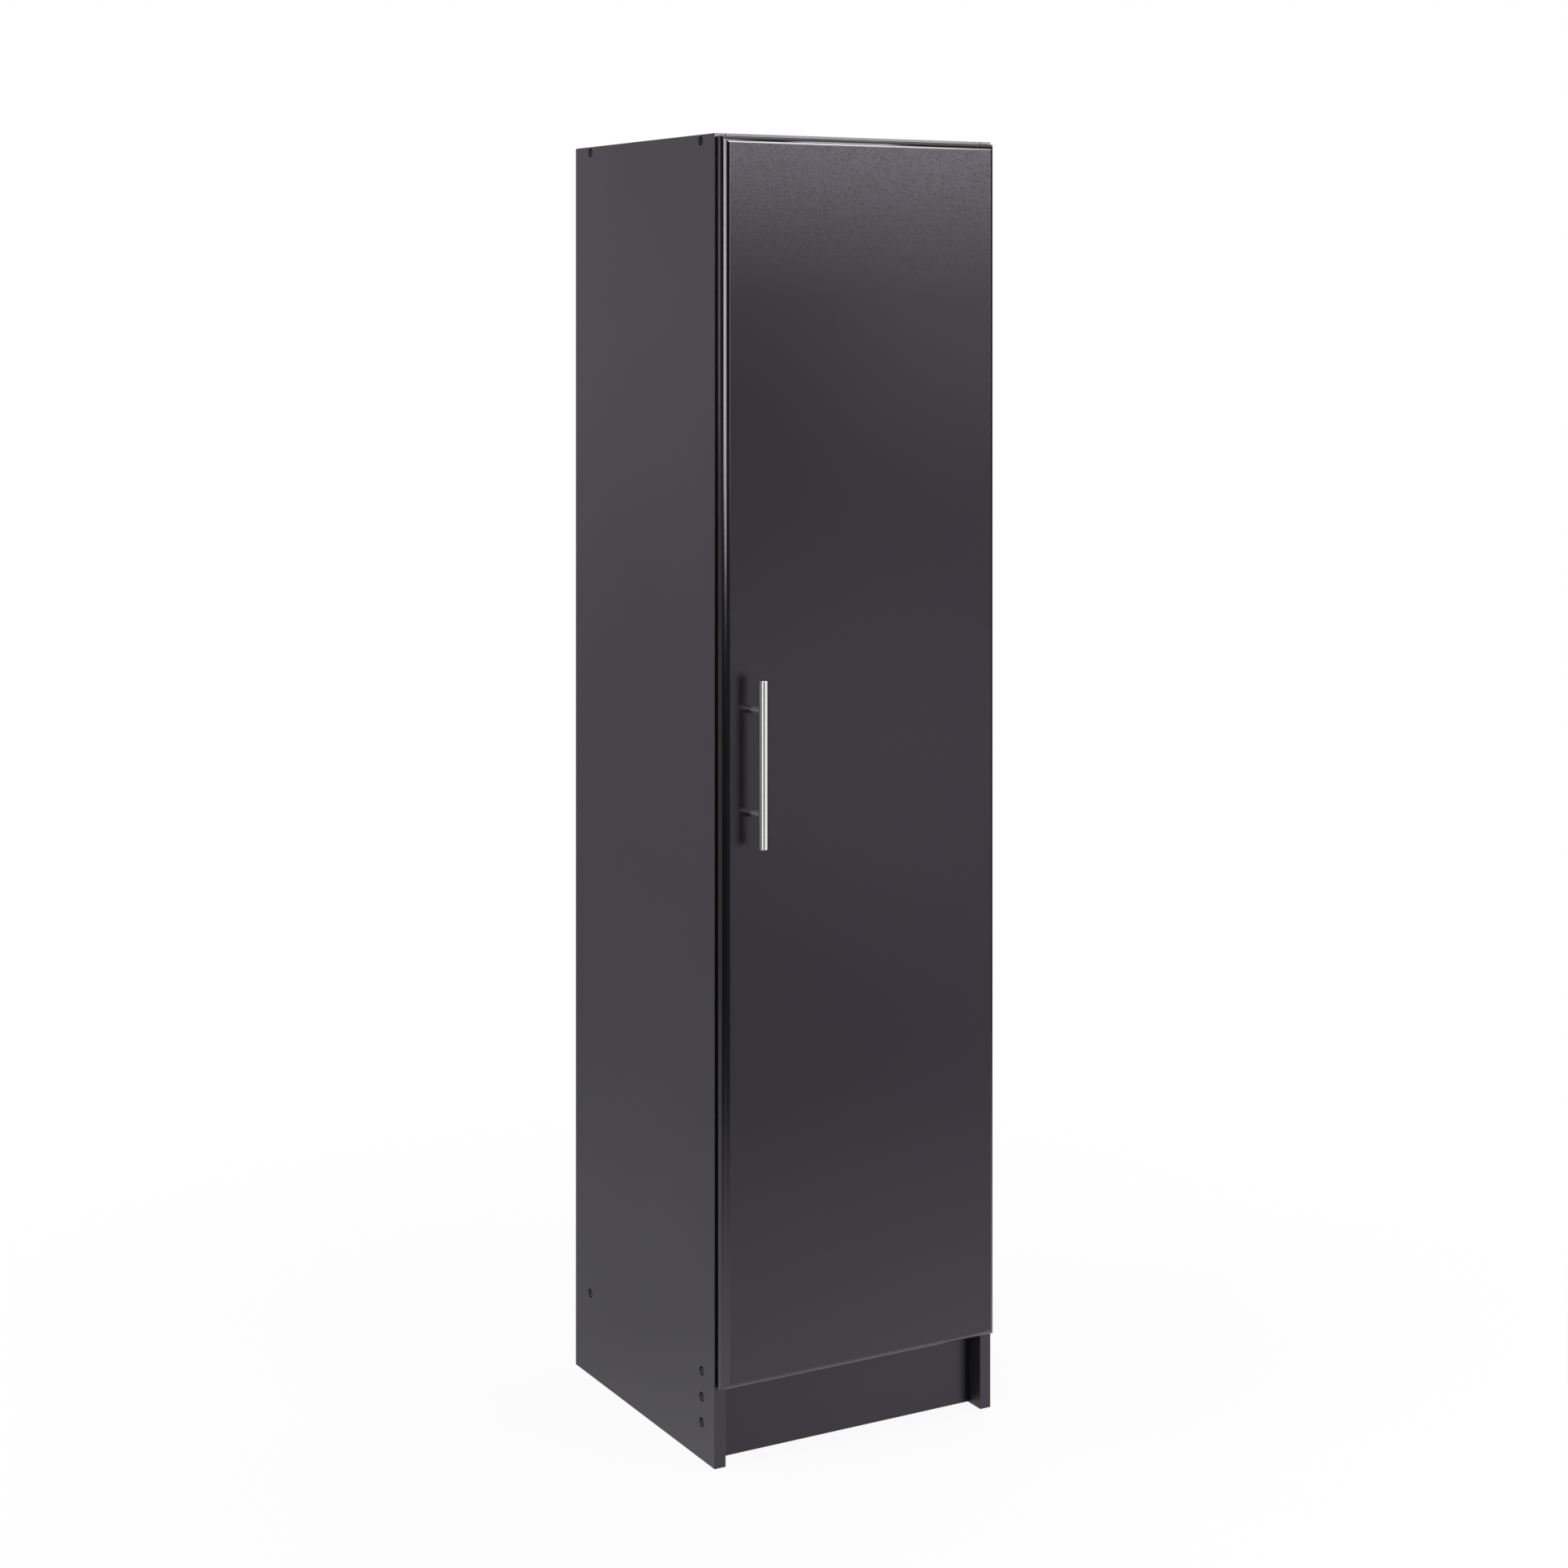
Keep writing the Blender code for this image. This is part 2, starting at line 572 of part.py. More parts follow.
def door_blank():
    """A slab whose front edge is moulded by insetting the face ring by ring, so corners mitre."""
    half_width, half_height = (DOOR_RIGHT - DOOR_LEFT) / 2, (DOOR_TOP - DOOR_BOTTOM) / 2
    side_flat = DOOR_THICKNESS - ROUND_DEPTH - STEP_DEPTH
    bm = bmesh.new()
    add_box(bm, (-half_width, -side_flat, -half_height), (half_width, -BACK_ARRIS, half_height))
    bm.normal_update()
    front = [face for face in bm.faces if face.normal.y < -0.5]
    rear = [face for face in bm.faces if face.normal.y > 0.5]
    bmesh.ops.inset_region(bm, faces=rear, thickness=BACK_ARRIS, depth=BACK_ARRIS, use_even_offset=True)
    previous = (0.0, 0.0)
    rings = []
    last = math.radians(ROUND_TURN_DEG)
    for step in range(1, ROUND_STEPS + 1):
        turn = last * step / ROUND_STEPS
        rings.append((ROUND_WIDTH * (1 - math.cos(turn)) / (1 - math.cos(last)),
                      ROUND_DEPTH * math.sin(turn) / math.sin(last)))
    rings.append((ROUND_WIDTH + STEP_WIDTH, ROUND_DEPTH + STEP_DEPTH))
    for width, height in rings:
        bmesh.ops.inset_region(bm, faces=front, use_even_offset=True,
                               thickness=width - previous[0], depth=height - previous[1])
        previous = (width, height)
    return mesh_from(bm, "door", smooth=False)


def door(swing):
    middle = ((DOOR_LEFT + DOOR_RIGHT) / 2, DOOR_BACK_Y, DOOR_MIDDLE_Z)
    leaf = link("door", door_blank(), DOOR_FOIL, middle, swing)
    into_back = (0, -1, 0)
    cups, holes = [], []
    for height in HINGES.values():
        cups.append(((CUP_X, DOOR_BACK_Y, height), into_back, CUP_BORE_RADIUS, CUP_BORE_DEPTH))
        for sign in (-1, 1):
            mouth = (CUP_X - CUP_PEG_OFFSET, DOOR_BACK_Y, height + sign * CUP_PEG_CENTRES / 2)
            holes.append((mouth, into_back, CUP_PEG_RADIUS + FIT_GAP, CUP_PEG_LENGTH + FIT_GAP))
    for height in HANDLE_POST_Z.values():
        mouth = (HANDLE_X, DOOR_BACK_Y, height)
        holes.append((mouth, into_back, HANDLE_SCREW_RADIUS + FIT_GAP, DOOR_THICKNESS + OVERRUN))
    drill(leaf, "door_cup_bores", cups, CUP_SEGMENTS)
    drill(leaf, "door_peg_and_screw_holes", holes)

    pad_height = DOOR_GAP - 2 * FIT_GAP
    profile = [(0, pad_height), (BUMPER_RADIUS - BUMPER_ARRIS, pad_height),
               (BUMPER_RADIUS, pad_height - BUMPER_ARRIS), (BUMPER_RADIUS, 0), (0, 0)]
    pad = turned_mesh("bumper", profile, ROUND_SEGMENTS)
    ends = {"upper": DOOR_TOP - BUMPER_FROM_DOOR_END, "lower": DOOR_BOTTOM + BUMPER_FROM_DOOR_END}
    for label, height in ends.items():
        place = (LEFT_X + BOARD / 2, DOOR_BACK_Y + FIT_GAP, height)
        link("door_bumper_" + label, pad, CLEAR_PAD, place, swing, (0, 1, 0))


def handle(swing):
    """A round bar on two posts; each post's end is coped to the bar and held by a screw."""
    half = HANDLE_CENTRES / 2 + HANDLE_OVERHANG
    profile = rod_profile(HANDLE_BAR_RADIUS, half, -half, HANDLE_BAR_ARRIS)
    bar = turned_mesh("handle_bar", profile, BAR_SEGMENTS)
    link("handle_bar", bar, NICKEL, (HANDLE_X, HANDLE_BAR_Y, DOOR_MIDDLE_Z), swing)

    post_foot = DOOR_FACE_Y - FIT_GAP
    for label, height in HANDLE_POST_Z.items():
        foot = Vector((HANDLE_X, post_foot, height))
        bm = bmesh.new()
        add_rod(bm, (0, 0, 0), (0, -1, 0), post_foot - HANDLE_BAR_Y, HANDLE_POST_RADIUS, ROUND_SEGMENTS)
        post = link("handle_post_" + label, mesh_from(bm, "handle_post"), NICKEL, foot, swing)
        bm = bmesh.new()
        start = (HANDLE_X, HANDLE_BAR_Y, height - half)
        add_rod(bm, start, (0, 0, 1), 2 * half, HANDLE_BAR_RADIUS + FIT_GAP, BAR_SEGMENTS)
        boolean(post, "DIFFERENCE", "handle_cope_" + label, mesh_from(bm, "handle_cope"))
        drill(post, "handle_thread_" + label,
              [(foot, (0, -1, 0), HANDLE_SCREW_RADIUS + FIT_GAP, HANDLE_SCREW_ENGAGEMENT + FIT_GAP)])

    length = FIT_GAP + DOOR_THICKNESS + HANDLE_SCREW_ENGAGEMENT
    profile = screw_profile(HANDLE_SCREW_RADIUS, length, SMALL_HEAD_RADIUS, SMALL_HEAD_HEIGHT)
    screw = turned_mesh("handle_screw", profile, SMALL_SEGMENTS)
    for label, height in HANDLE_POST_Z.items():
        place = (HANDLE_X, DOOR_BACK_Y + FIT_GAP, height)
        link("handle_screw_" + label, screw, ZINC, place, swing, (0, 1, 0))


# Hinges


def cup_mesh():
    """The pressed cup, its flange and two knock-in pegs, mouth up: z = 0 is the back of the door."""
    outer = CUP_BORE_RADIUS - FIT_GAP
    cavity = outer - CUP_WALL
    pin_offset = PIN_X - CUP_X
    bm = bmesh.new()
    flange_z = FIT_GAP + CUP_FLANGE_THICKNESS / 2
    add_rod(bm, (0, 0, -CUP_DEPTH), (0, 0, 1), CUP_DEPTH + flange_z, outer, CUP_SEGMENTS)
    cup = bpy.data.objects.new("cup", mesh_from(bm, "cup"))
    CUTTERS.objects.link(cup)

    outline = rounded_rectangle(CUP_FLANGE_WIDTH, CUP_FLANGE_LENGTH, CUP_FLANGE_CORNER, 5)
    plate = outline_mesh("cup_flange", outline, CUP_FLANGE_THICKNESS)
    plate.transform(Matrix.Translation((-CUP_PEG_OFFSET, 0, flange_z)))
    boolean(cup, "UNION", "cup_flange", plate)
    bm = bmesh.new()
    add_rod(bm, (0, 0, FIT_GAP), (0, 0, 1), CUP_FLANGE_THICKNESS, outer + CUP_RIM_WIDTH, CUP_SEGMENTS)
    boolean(cup, "UNION", "cup_rim", mesh_from(bm, "cup_rim"))

    bm = bmesh.new()
    add_rod(bm, (0, 0, CUP_FLOOR - CUP_DEPTH), (0, 0, 1), CUP_DEPTH + OVERRUN, cavity, CUP_SEGMENTS)
    hollow = bpy.data.objects.new("hollow", mesh_from(bm, "hollow"))
    CUTTERS.objects.link(hollow)
    cheek = KNUCKLE_HALF_HEIGHT + FIT_GAP
    bm = bmesh.new()
    for sign in (-1, 1):
        ends = sorted((sign * cheek, sign * CUP_BORE_RADIUS))
        add_box(bm, (pin_offset - 2 * KNUCKLE_RADIUS, ends[0], -CUP_DEPTH - OVERRUN),
                (CUP_BORE_RADIUS + OVERRUN, ends[1], -PIN_BEHIND_DOOR_BACK + 2 * KNUCKLE_RADIUS))
    boolean(hollow, "DIFFERENCE", "cup_cheeks", mesh_from(bm, "cup_cheeks", smooth=False))
    boolean(cup, "DIFFERENCE", "cup_hollow", evaluated_mesh(hollow))
    bpy.data.objects.remove(hollow, do_unlink=True)

    bm = bmesh.new()
    reach = HINGE_PIN_HALF_LENGTH + HINGE_PIN_CLEARANCE
    add_rod(bm, (pin_offset, -reach, -PIN_BEHIND_DOOR_BACK), (0, 1, 0), 2 * reach,
            HINGE_PIN_RADIUS + HINGE_PIN_CLEARANCE, SMALL_SEGMENTS)
    boolean(cup, "DIFFERENCE", "cup_pin_bore", mesh_from(bm, "cup_pin_bore"))
    pegs, heads = bmesh.new(), bmesh.new()
    head_height = CUP_FLANGE_THICKNESS / 2 + SMALL_HEAD_HEIGHT
    for sign in (-1, 1):
        place = Vector((-CUP_PEG_OFFSET, sign * CUP_PEG_CENTRES / 2, flange_z))
        add_rod(pegs, place, (0, 0, -1), CUP_PEG_LENGTH + flange_z, CUP_PEG_RADIUS, SMALL_SEGMENTS)
        add_rod(heads, place, (0, 0, 1), head_height, SMALL_HEAD_RADIUS, SMALL_SEGMENTS)
    boolean(cup, "UNION", "cup_pegs", mesh_from(pegs, "cup_pegs"))
    boolean(cup, "UNION", "cup_peg_heads", mesh_from(heads, "cup_peg_heads"))
    mesh = evaluated_mesh(cup)
    bpy.data.objects.remove(cup, do_unlink=True)
    mesh.set_sharp_from_angle(angle=math.radians(SHARP_EDGE_DEG))
    return mesh


def crank_outline():
    """The bent strip in plan, measured from the pin: round the knuckle, along the cup and back."""
    inner = CRANK_INNER_FROM_PIN
    outer = inner + CRANK_THICKNESS
    lift = -HINGE_PIN_CLEARANCE - FIT_GAP / 2
    start = 180 - math.degrees(math.asin(lift / KNUCKLE_RADIUS))
    rear = FRONT_Y + ARM_FRONT + ARM_NOSE / 2 - PIN_Y
    bend = KNUCKLE_RADIUS
    points = arc((0, 0), KNUCKLE_RADIUS, start, -90, 14)
    points += arc((-outer + bend, 0), bend, 270, 180, 4)
    points += [(-outer, rear), (-inner, rear), (-inner, lift)]
    return points


def hinge_arm_mesh():
    """Crank, channel and the two captive screws, from the pin's axis: +Y runs to the rear."""
    crank = outline_mesh("crank", crank_outline(), 2 * KNUCKLE_HALF_HEIGHT)
    arm = bpy.data.objects.new("arm", crank)
    CUTTERS.objects.link(arm)
    face = INNER_RIGHT - PIN_X
    front = FRONT_Y + ARM_FRONT - PIN_Y
    low = face - ARM_STANDOFF - ARM_RISE
    high = face - ARM_STANDOFF
    bm = bmesh.new()
    add_box(bm, (low, front, -ARM_HALF_WIDTH), (high, front + ARM_LENGTH, ARM_HALF_WIDTH))
    channel = bpy.data.objects.new("channel", mesh_from(bm, "channel", smooth=False))
    CUTTERS.objects.link(channel)
    bm = bmesh.new()
    add_box(bm, (low + ARM_WALL, front + ARM_NOSE, -ARM_HALF_WIDTH + ARM_WALL),
            (high + OVERRUN, front + ARM_LENGTH + OVERRUN, ARM_HALF_WIDTH - ARM_WALL))
    boolean(channel, "DIFFERENCE", "channel_hollow", mesh_from(bm, "channel_hollow", smooth=False))
    boolean(arm, "UNION", "arm_channel", evaluated_mesh(channel))
    bpy.data.objects.remove(channel, do_unlink=True)

    bm = bmesh.new()
    add_rod(bm, (0, 0, -KNUCKLE_HALF_HEIGHT - OVERRUN), (0, 0, 1), 2 * (KNUCKLE_HALF_HEIGHT + OVERRUN),
            HINGE_PIN_RADIUS + HINGE_PIN_CLEARANCE, SMALL_SEGMENTS)
    boolean(arm, "DIFFERENCE", "arm_pin_bore", mesh_from(bm, "arm_pin_bore"))
    shanks, heads = bmesh.new(), bmesh.new()
    inside_wall = ARM_WALL / 2
    for y in ARM_SCREW_Y:
        place = (low + inside_wall, y - PIN_Y, 0)
        add_rod(shanks, place, (1, 0, 0), inside_wall + ARM_SCREW_REACH, PLUG_RADIUS, SMALL_SEGMENTS)
        add_rod(heads, place, (-1, 0, 0), inside_wall + SMALL_HEAD_HEIGHT, SMALL_HEAD_RADIUS, SMALL_SEGMENTS)
    boolean(arm, "UNION", "arm_screw_shanks", mesh_from(shanks, "arm_screw_shanks"))
    boolean(arm, "UNION", "arm_screw_heads", mesh_from(heads, "arm_screw_heads"))
    mesh = evaluated_mesh(arm)
    bpy.data.objects.remove(arm, do_unlink=True)
    return mesh


def hinge_plate_mesh():
    """Base plate, raised block and its two ready-fitted screws: x = 0 is the side panel's face."""
    outline = rounded_rectangle(PLATE_WIDTH, PLATE_LENGTH, PLATE_CORNER)
    base = outline_mesh("plate_base", outline, PLATE_THICKNESS)
    base.transform(Matrix.Rotation(math.radians(90), 4, "Z") @ Matrix.Rotation(math.radians(90), 4, "X"))
    base.transform(Matrix.Translation((-FIT_GAP - PLATE_THICKNESS / 2, 0, 0)))
    plate = bpy.data.objects.new("plate", base)
    CUTTERS.objects.link(plate)
    rear = BLOCK_REAR_Y - PLATE_LINE_Y
    half = ARM_HALF_WIDTH - ARM_WALL - FIT_GAP
    bm = bmesh.new()
    add_box(bm, (-BLOCK_RISE, rear - PLATE_BLOCK_LENGTH, -half), (-FIT_GAP, rear, half))
    boolean(plate, "UNION", "plate_block", mesh_from(bm, "plate_block", smooth=False))
    shanks, heads = bmesh.new(), bmesh.new()
    inside_base = PLATE_THICKNESS / 2
    for sign in (-1, 1):
        place = (-FIT_GAP - inside_base, 0, sign * PITCH / 2)
        add_rod(shanks, place, (1, 0, 0), inside_base + PLUG_LENGTH, PLUG_RADIUS, SMALL_SEGMENTS)
        add_rod(heads, place, (-1, 0, 0), inside_base + SMALL_HEAD_HEIGHT, SMALL_HEAD_RADIUS, SMALL_SEGMENTS)
    boolean(plate, "UNION", "plate_screw_shanks", mesh_from(shanks, "plate_screw_shanks"))
    boolean(plate, "UNION", "plate_screw_heads", mesh_from(heads, "plate_screw_heads"))
    holes = [((-BLOCK_RISE, y - PLATE_LINE_Y, 0), (1, 0, 0), PLUG_RADIUS + FIT_GAP, ARM_SCREW_REACH)
             for y in ARM_SCREW_Y]
    drill(plate, "plate_holes", holes)
    mesh = evaluated_mesh(plate)
    bpy.data.objects.remove(plate, do_unlink=True)
    return mesh


def hinges(swing):
    cup, arm, plate = cup_mesh(), hinge_arm_mesh(), hinge_plate_mesh()
    cup.transform(Matrix.Rotation(math.radians(-90), 4, "X"))
    half = HINGE_PIN_HALF_LENGTH
    profile = [(0, half), (HINGE_PIN_RADIUS, half), (HINGE_PIN_RADIUS, -half), (0, -half)]
    pin = turned_mesh("hinge_pin", profile, SMALL_SEGMENTS)
    for label, height in HINGES.items():
        link("hinge_plate_" + label, plate.copy(), STEEL, (INNER_RIGHT, PLATE_LINE_Y, height))
        link("hinge_arm_" + label, arm.copy(), STEEL, (PIN_X, PIN_Y, height))
        link("hinge_cup_" + label, cup.copy(), STEEL, (CUP_X, DOOR_BACK_Y, height), swing)
        link("hinge_pin_" + label, pin.copy(), STEEL, (PIN_X, PIN_Y, height), swing)


def swing_axis():
    """The empty on the pins' common line: the door turns about its Z, by DOOR_OPENS_DEG at most."""
    axis = bpy.data.objects.new("door_swing_axis", None)
    CABINET.objects.link(axis)
    axis.location = (PIN_X, PIN_Y, DOOR_MIDDLE_Z)
    axis["opens_deg"] = DOOR_OPENS_DEG
    return axis


carcass()
fixed_shelf()
loose_shelves()
swing = swing_axis()
door(swing)
handle(swing)
hinges(swing)
bpy.context.view_layer.update()
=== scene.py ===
# %% [markdown]
# A tall storage cabinet with one door
#
# The frame holds every board, screw and hinge part of the cabinet at its true size and place. This
# lesson dresses them: each gets a finish made of shader nodes, and the pieces whose edges catch the
# light are modelled once more, with rounder arrises than a plain solid needs.

# %% Load the frame
import math
import random

import bmesh
import bpy
from mathutils import Matrix, Vector


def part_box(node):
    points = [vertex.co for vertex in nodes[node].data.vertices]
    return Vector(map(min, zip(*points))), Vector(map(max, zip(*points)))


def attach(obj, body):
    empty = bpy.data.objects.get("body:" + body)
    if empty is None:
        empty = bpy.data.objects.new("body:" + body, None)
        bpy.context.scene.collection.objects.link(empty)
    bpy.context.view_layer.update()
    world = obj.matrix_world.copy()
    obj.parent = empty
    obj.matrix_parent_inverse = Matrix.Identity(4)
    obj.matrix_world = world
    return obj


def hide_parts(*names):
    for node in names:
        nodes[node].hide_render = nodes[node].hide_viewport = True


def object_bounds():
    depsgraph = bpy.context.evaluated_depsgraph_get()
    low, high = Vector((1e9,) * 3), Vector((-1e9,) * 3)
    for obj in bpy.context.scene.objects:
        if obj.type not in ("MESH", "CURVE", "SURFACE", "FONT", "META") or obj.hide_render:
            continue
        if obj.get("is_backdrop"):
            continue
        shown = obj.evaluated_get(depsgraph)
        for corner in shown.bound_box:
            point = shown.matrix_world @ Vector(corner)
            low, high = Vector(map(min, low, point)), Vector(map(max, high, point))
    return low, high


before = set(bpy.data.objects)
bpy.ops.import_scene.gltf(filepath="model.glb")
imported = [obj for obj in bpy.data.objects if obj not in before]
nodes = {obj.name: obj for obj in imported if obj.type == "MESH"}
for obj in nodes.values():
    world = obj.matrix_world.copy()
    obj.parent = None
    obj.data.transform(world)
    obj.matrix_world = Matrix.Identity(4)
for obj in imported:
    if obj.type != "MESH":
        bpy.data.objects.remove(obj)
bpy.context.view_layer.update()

# %% [markdown]
# Camera
#
# The photograph was taken with a level camera a little below the cabinet's top, about 30 degrees to
# the left of its front. Upright edges stay upright in it. A level camera whose picture is shifted
# down keeps them so, while a camera that is tilted down would make them lean together. The focal
# length and the shift come from the picture: the place in it where the horizon and the line of
# sight meet.

# %% Camera
PICTURE_SIDE = 1932
FOCAL_PIXELS = 3533.0
SIGHT_X, SIGHT_Y = 1013.0, 379.3
SENSOR_WIDTH = 36.0
CAMERA_PLACE = (-1.8452, -3.3173, 1.4350)
CAMERA_TURN = 29.75
CAMERA_REACH = 60.0

camera_data = bpy.data.cameras.new("camera")
camera_data.sensor_width = SENSOR_WIDTH
camera_data.lens = FOCAL_PIXELS / PICTURE_SIDE * SENSOR_WIDTH
camera_data.shift_x = 0.5 - SIGHT_X / PICTURE_SIDE
camera_data.shift_y = SIGHT_Y / PICTURE_SIDE - 0.5
camera_data.clip_end = CAMERA_REACH
camera = bpy.data.objects.new("camera", camera_data)
camera.location = CAMERA_PLACE
camera.rotation_euler = (math.radians(90), 0.0, math.radians(-CAMERA_TURN))
bpy.context.scene.collection.objects.link(camera)
bpy.context.scene.camera = camera
bpy.context.scene.view_settings.view_transform = "Standard"
print("lens", round(camera_data.lens, 2),
      "shift", round(camera_data.shift_x, 4), round(camera_data.shift_y, 4))

# %% [markdown]
# Shader helpers
#
# Every finish below is a short chain of nodes, and a few helpers keep the cells readable. One adds
# a node with its settings and one joins two sockets. The others make the steps that most finishes
# need, and each of them takes and gives a pattern, which is a node with one of its outputs.
# Patterns read Object coordinates. Each piece sits at the origin with its place in its mesh, so
# these are metres on the cabinet, and a scale of 500 gives cells of about 2 mm. A noise stays
# mostly between 0.3 and 0.7, so ramps run over that middle part.

# %% Shader helpers
NOISE_LOW, NOISE_HIGH = 0.3, 0.7
FACES_THAT_WAY = 0.9


def add_node(tree, kind, inputs=None, **settings):
    made = tree.nodes.new(kind)
    for key, value in settings.items():
        setattr(made, key, value)
    for key, value in (inputs or {}).items():
        made.inputs[key].default_value = value
    return made


def wire(tree, source, output, target, socket):
    tree.links.new(source.outputs[output], target.inputs[socket])


def new_finish(name, colour, roughness, metallic=0.0, specular=0.5):
    """A Principled material with plain values, ready for its patterns."""
    material = bpy.data.materials.new(name)
    material.use_nodes = True
    shader = material.node_tree.nodes["Principled BSDF"]
    shader.inputs["Base Color"].default_value = (*colour, 1.0)
    shader.inputs["Roughness"].default_value = roughness
    shader.inputs["Metallic"].default_value = metallic
    shader.inputs["Specular IOR Level"].default_value = specular
    material.diffuse_color = (*colour, 1.0)
    return material, material.node_tree, shader


def noise(tree, coords, scale, detail=2.0, stretch=(1.0, 1.0, 1.0)):
    """Fractal noise on Object coordinates; stretch squeezes it along an axis."""
    mapping = add_node(tree, "ShaderNodeMapping", {"Scale": stretch})
    wire(tree, coords, "Object", mapping, "Vector")
    made = add_node(tree, "ShaderNodeTexNoise", {"Scale": scale, "Detail": detail})
    wire(tree, mapping, "Vector", made, "Vector")
    return made, "Fac"


def ramp(tree, pattern, stops):
    """Colours along a 0 to 1 value: stops are (place, colour)."""
    made = add_node(tree, "ShaderNodeValToRGB")
    wire(tree, *pattern, made, "Fac")
    band = made.color_ramp
    while len(band.elements) < len(stops):
        band.elements.new(0.5)
    for element, (place, colour) in zip(band.elements, stops):
        element.position = place
        element.color = (*colour, 1.0)
    return made, "Color"


def shade(colour, factor):
    """A colour made lighter or darker by a factor."""
    return tuple(channel * factor for channel in colour)


def tones(tree, pattern, colour, darker, lighter):
    """Two shades of a colour over the middle part of a noise."""
    stops = [(NOISE_LOW, shade(colour, darker)), (NOISE_HIGH, shade(colour, lighter))]
    return ramp(tree, pattern, stops)


def spread(tree, pattern, low, high, start=NOISE_LOW, end=NOISE_HIGH):
    """Maps a pattern's value on to a range such as a roughness."""
    made = add_node(tree, "ShaderNodeMapRange", {"From Min": start, "From Max": end,
                                                 "To Min": low, "To Max": high})
    wire(tree, *pattern, made, "Value")
    return made, "Result"


def combine(tree, operation, first, *others):
    """Patterns brought together by a Math operation such as ADD."""
    for other in others:
        both = add_node(tree, "ShaderNodeMath", operation=operation)
        wire(tree, *first, both, 0)
        wire(tree, *other, both, 1)
        first = (both, 0)
    return first


def blend_colours(tree, mask, first, second):
    """first where the mask is 0, second where it is 1."""
    made = add_node(tree, "ShaderNodeMix", data_type="RGBA")
    for socket, pattern in zip((0, 6, 7), (mask, first, second)):
        wire(tree, *pattern, made, socket)
    return made, 2


def blend_values(tree, mask, first, second):
    """The same for values, each of which may be a plain number."""
    made = add_node(tree, "ShaderNodeMix", data_type="FLOAT")
    for socket, value in zip((0, 2, 3), (mask, first, second)):
        if isinstance(value, float):
            made.inputs[socket].default_value = value
        else:
            wire(tree, *value, made, socket)
    return made, 0


def facing_mask(tree, coords, directions):
    """1 on the faces that look one of these ways, 0 elsewhere."""
    masks = []
    for direction in directions:
        dot = add_node(tree, "ShaderNodeVectorMath", {1: direction}, operation="DOT_PRODUCT")
        wire(tree, coords, "Normal", dot, 0)
        over = add_node(tree, "ShaderNodeMath", {1: FACES_THAT_WAY}, operation="GREATER_THAN")
        wire(tree, dot, "Value", over, 0)
        masks.append((over, 0))
    return combine(tree, "MAXIMUM", *masks)


def join_up(tree, shader, colour, roughness, height, strength, distance):
    """Joins a finish's patterns to its shader, the height through a bump."""
    bump = add_node(tree, "ShaderNodeBump", {"Strength": strength, "Distance": distance})
    wire(tree, *height, bump, "Height")
    wire(tree, bump, "Normal", shader, "Normal")
    wire(tree, *colour, shader, "Base Color")
    wire(tree, *roughness, shader, "Roughness")
    return bump

# %% [markdown]
# Laminated board
#
# The carcass is particleboard under a dark grey paper laminate. Its face is matt with a very fine
# tooth, the front edges carry a smoother glued band whose darker colour is partly its own and
# partly painted shade for the gap beside the door, and the edges that face the wall and the floor
# are left raw, so the pressed chips show there. One board could be cut into a piece per surface,
# but a mask made from the direction each face looks in does the same and keeps the board whole. The
# kick plate's paper is painted a little darker, as shade for the recess under the door, and its
# laminate is sharper and mirrors less, as it looks in the photograph.

# %% Laminated board
GRAPHITE = (0.0475, 0.0440, 0.0525)
VIOLET_SHEEN = (0.97, 0.92, 1.0, 1.0)
CHIP_COLOURS = [(0.0, (0.20, 0.12, 0.06)), (0.35, (0.36, 0.24, 0.13)),
                (0.7, (0.50, 0.36, 0.21)), (1.0, (0.27, 0.17, 0.09))]
DRIFT_PER_METRE, TOOTH_PER_METRE, CHIPS_PER_METRE = 2.6, 1500.0, 520.0
# The front edge band's dark tones are partly the band's own colour and partly painted shade in the
# gap beside the door.
PAPER_SHADES, BAND_TONES_AND_PAINTED_SHADE = (0.93, 1.08), (0.50, 0.58)
PAPER_ROUGHNESS, BAND_ROUGHNESS, CHIP_ROUGHNESS = (0.40, 0.52), (0.26, 0.32), (0.80, 0.95)
TOOTH_STRENGTH, TOOTH_HEIGHT = 0.10, 0.0003
# The kick plate's paper colour is darkened a little: painted shade for the recess under the door.
KICK_PAINTED_SHADE, KICK_SPECULAR, KICK_ROUGHNESS = 0.92, 0.15, (0.29, 0.35)
TOWARDS_WALL, TOWARDS_FLOOR, TOWARDS_ROOM = (0, 1, 0), (0, 0, -1), (0, -1, 0)
TOWARDS_CEILING, TOWARDS_LEFT, TOWARDS_RIGHT = (0, 0, 1), (-1, 0, 0), (1, 0, 0)


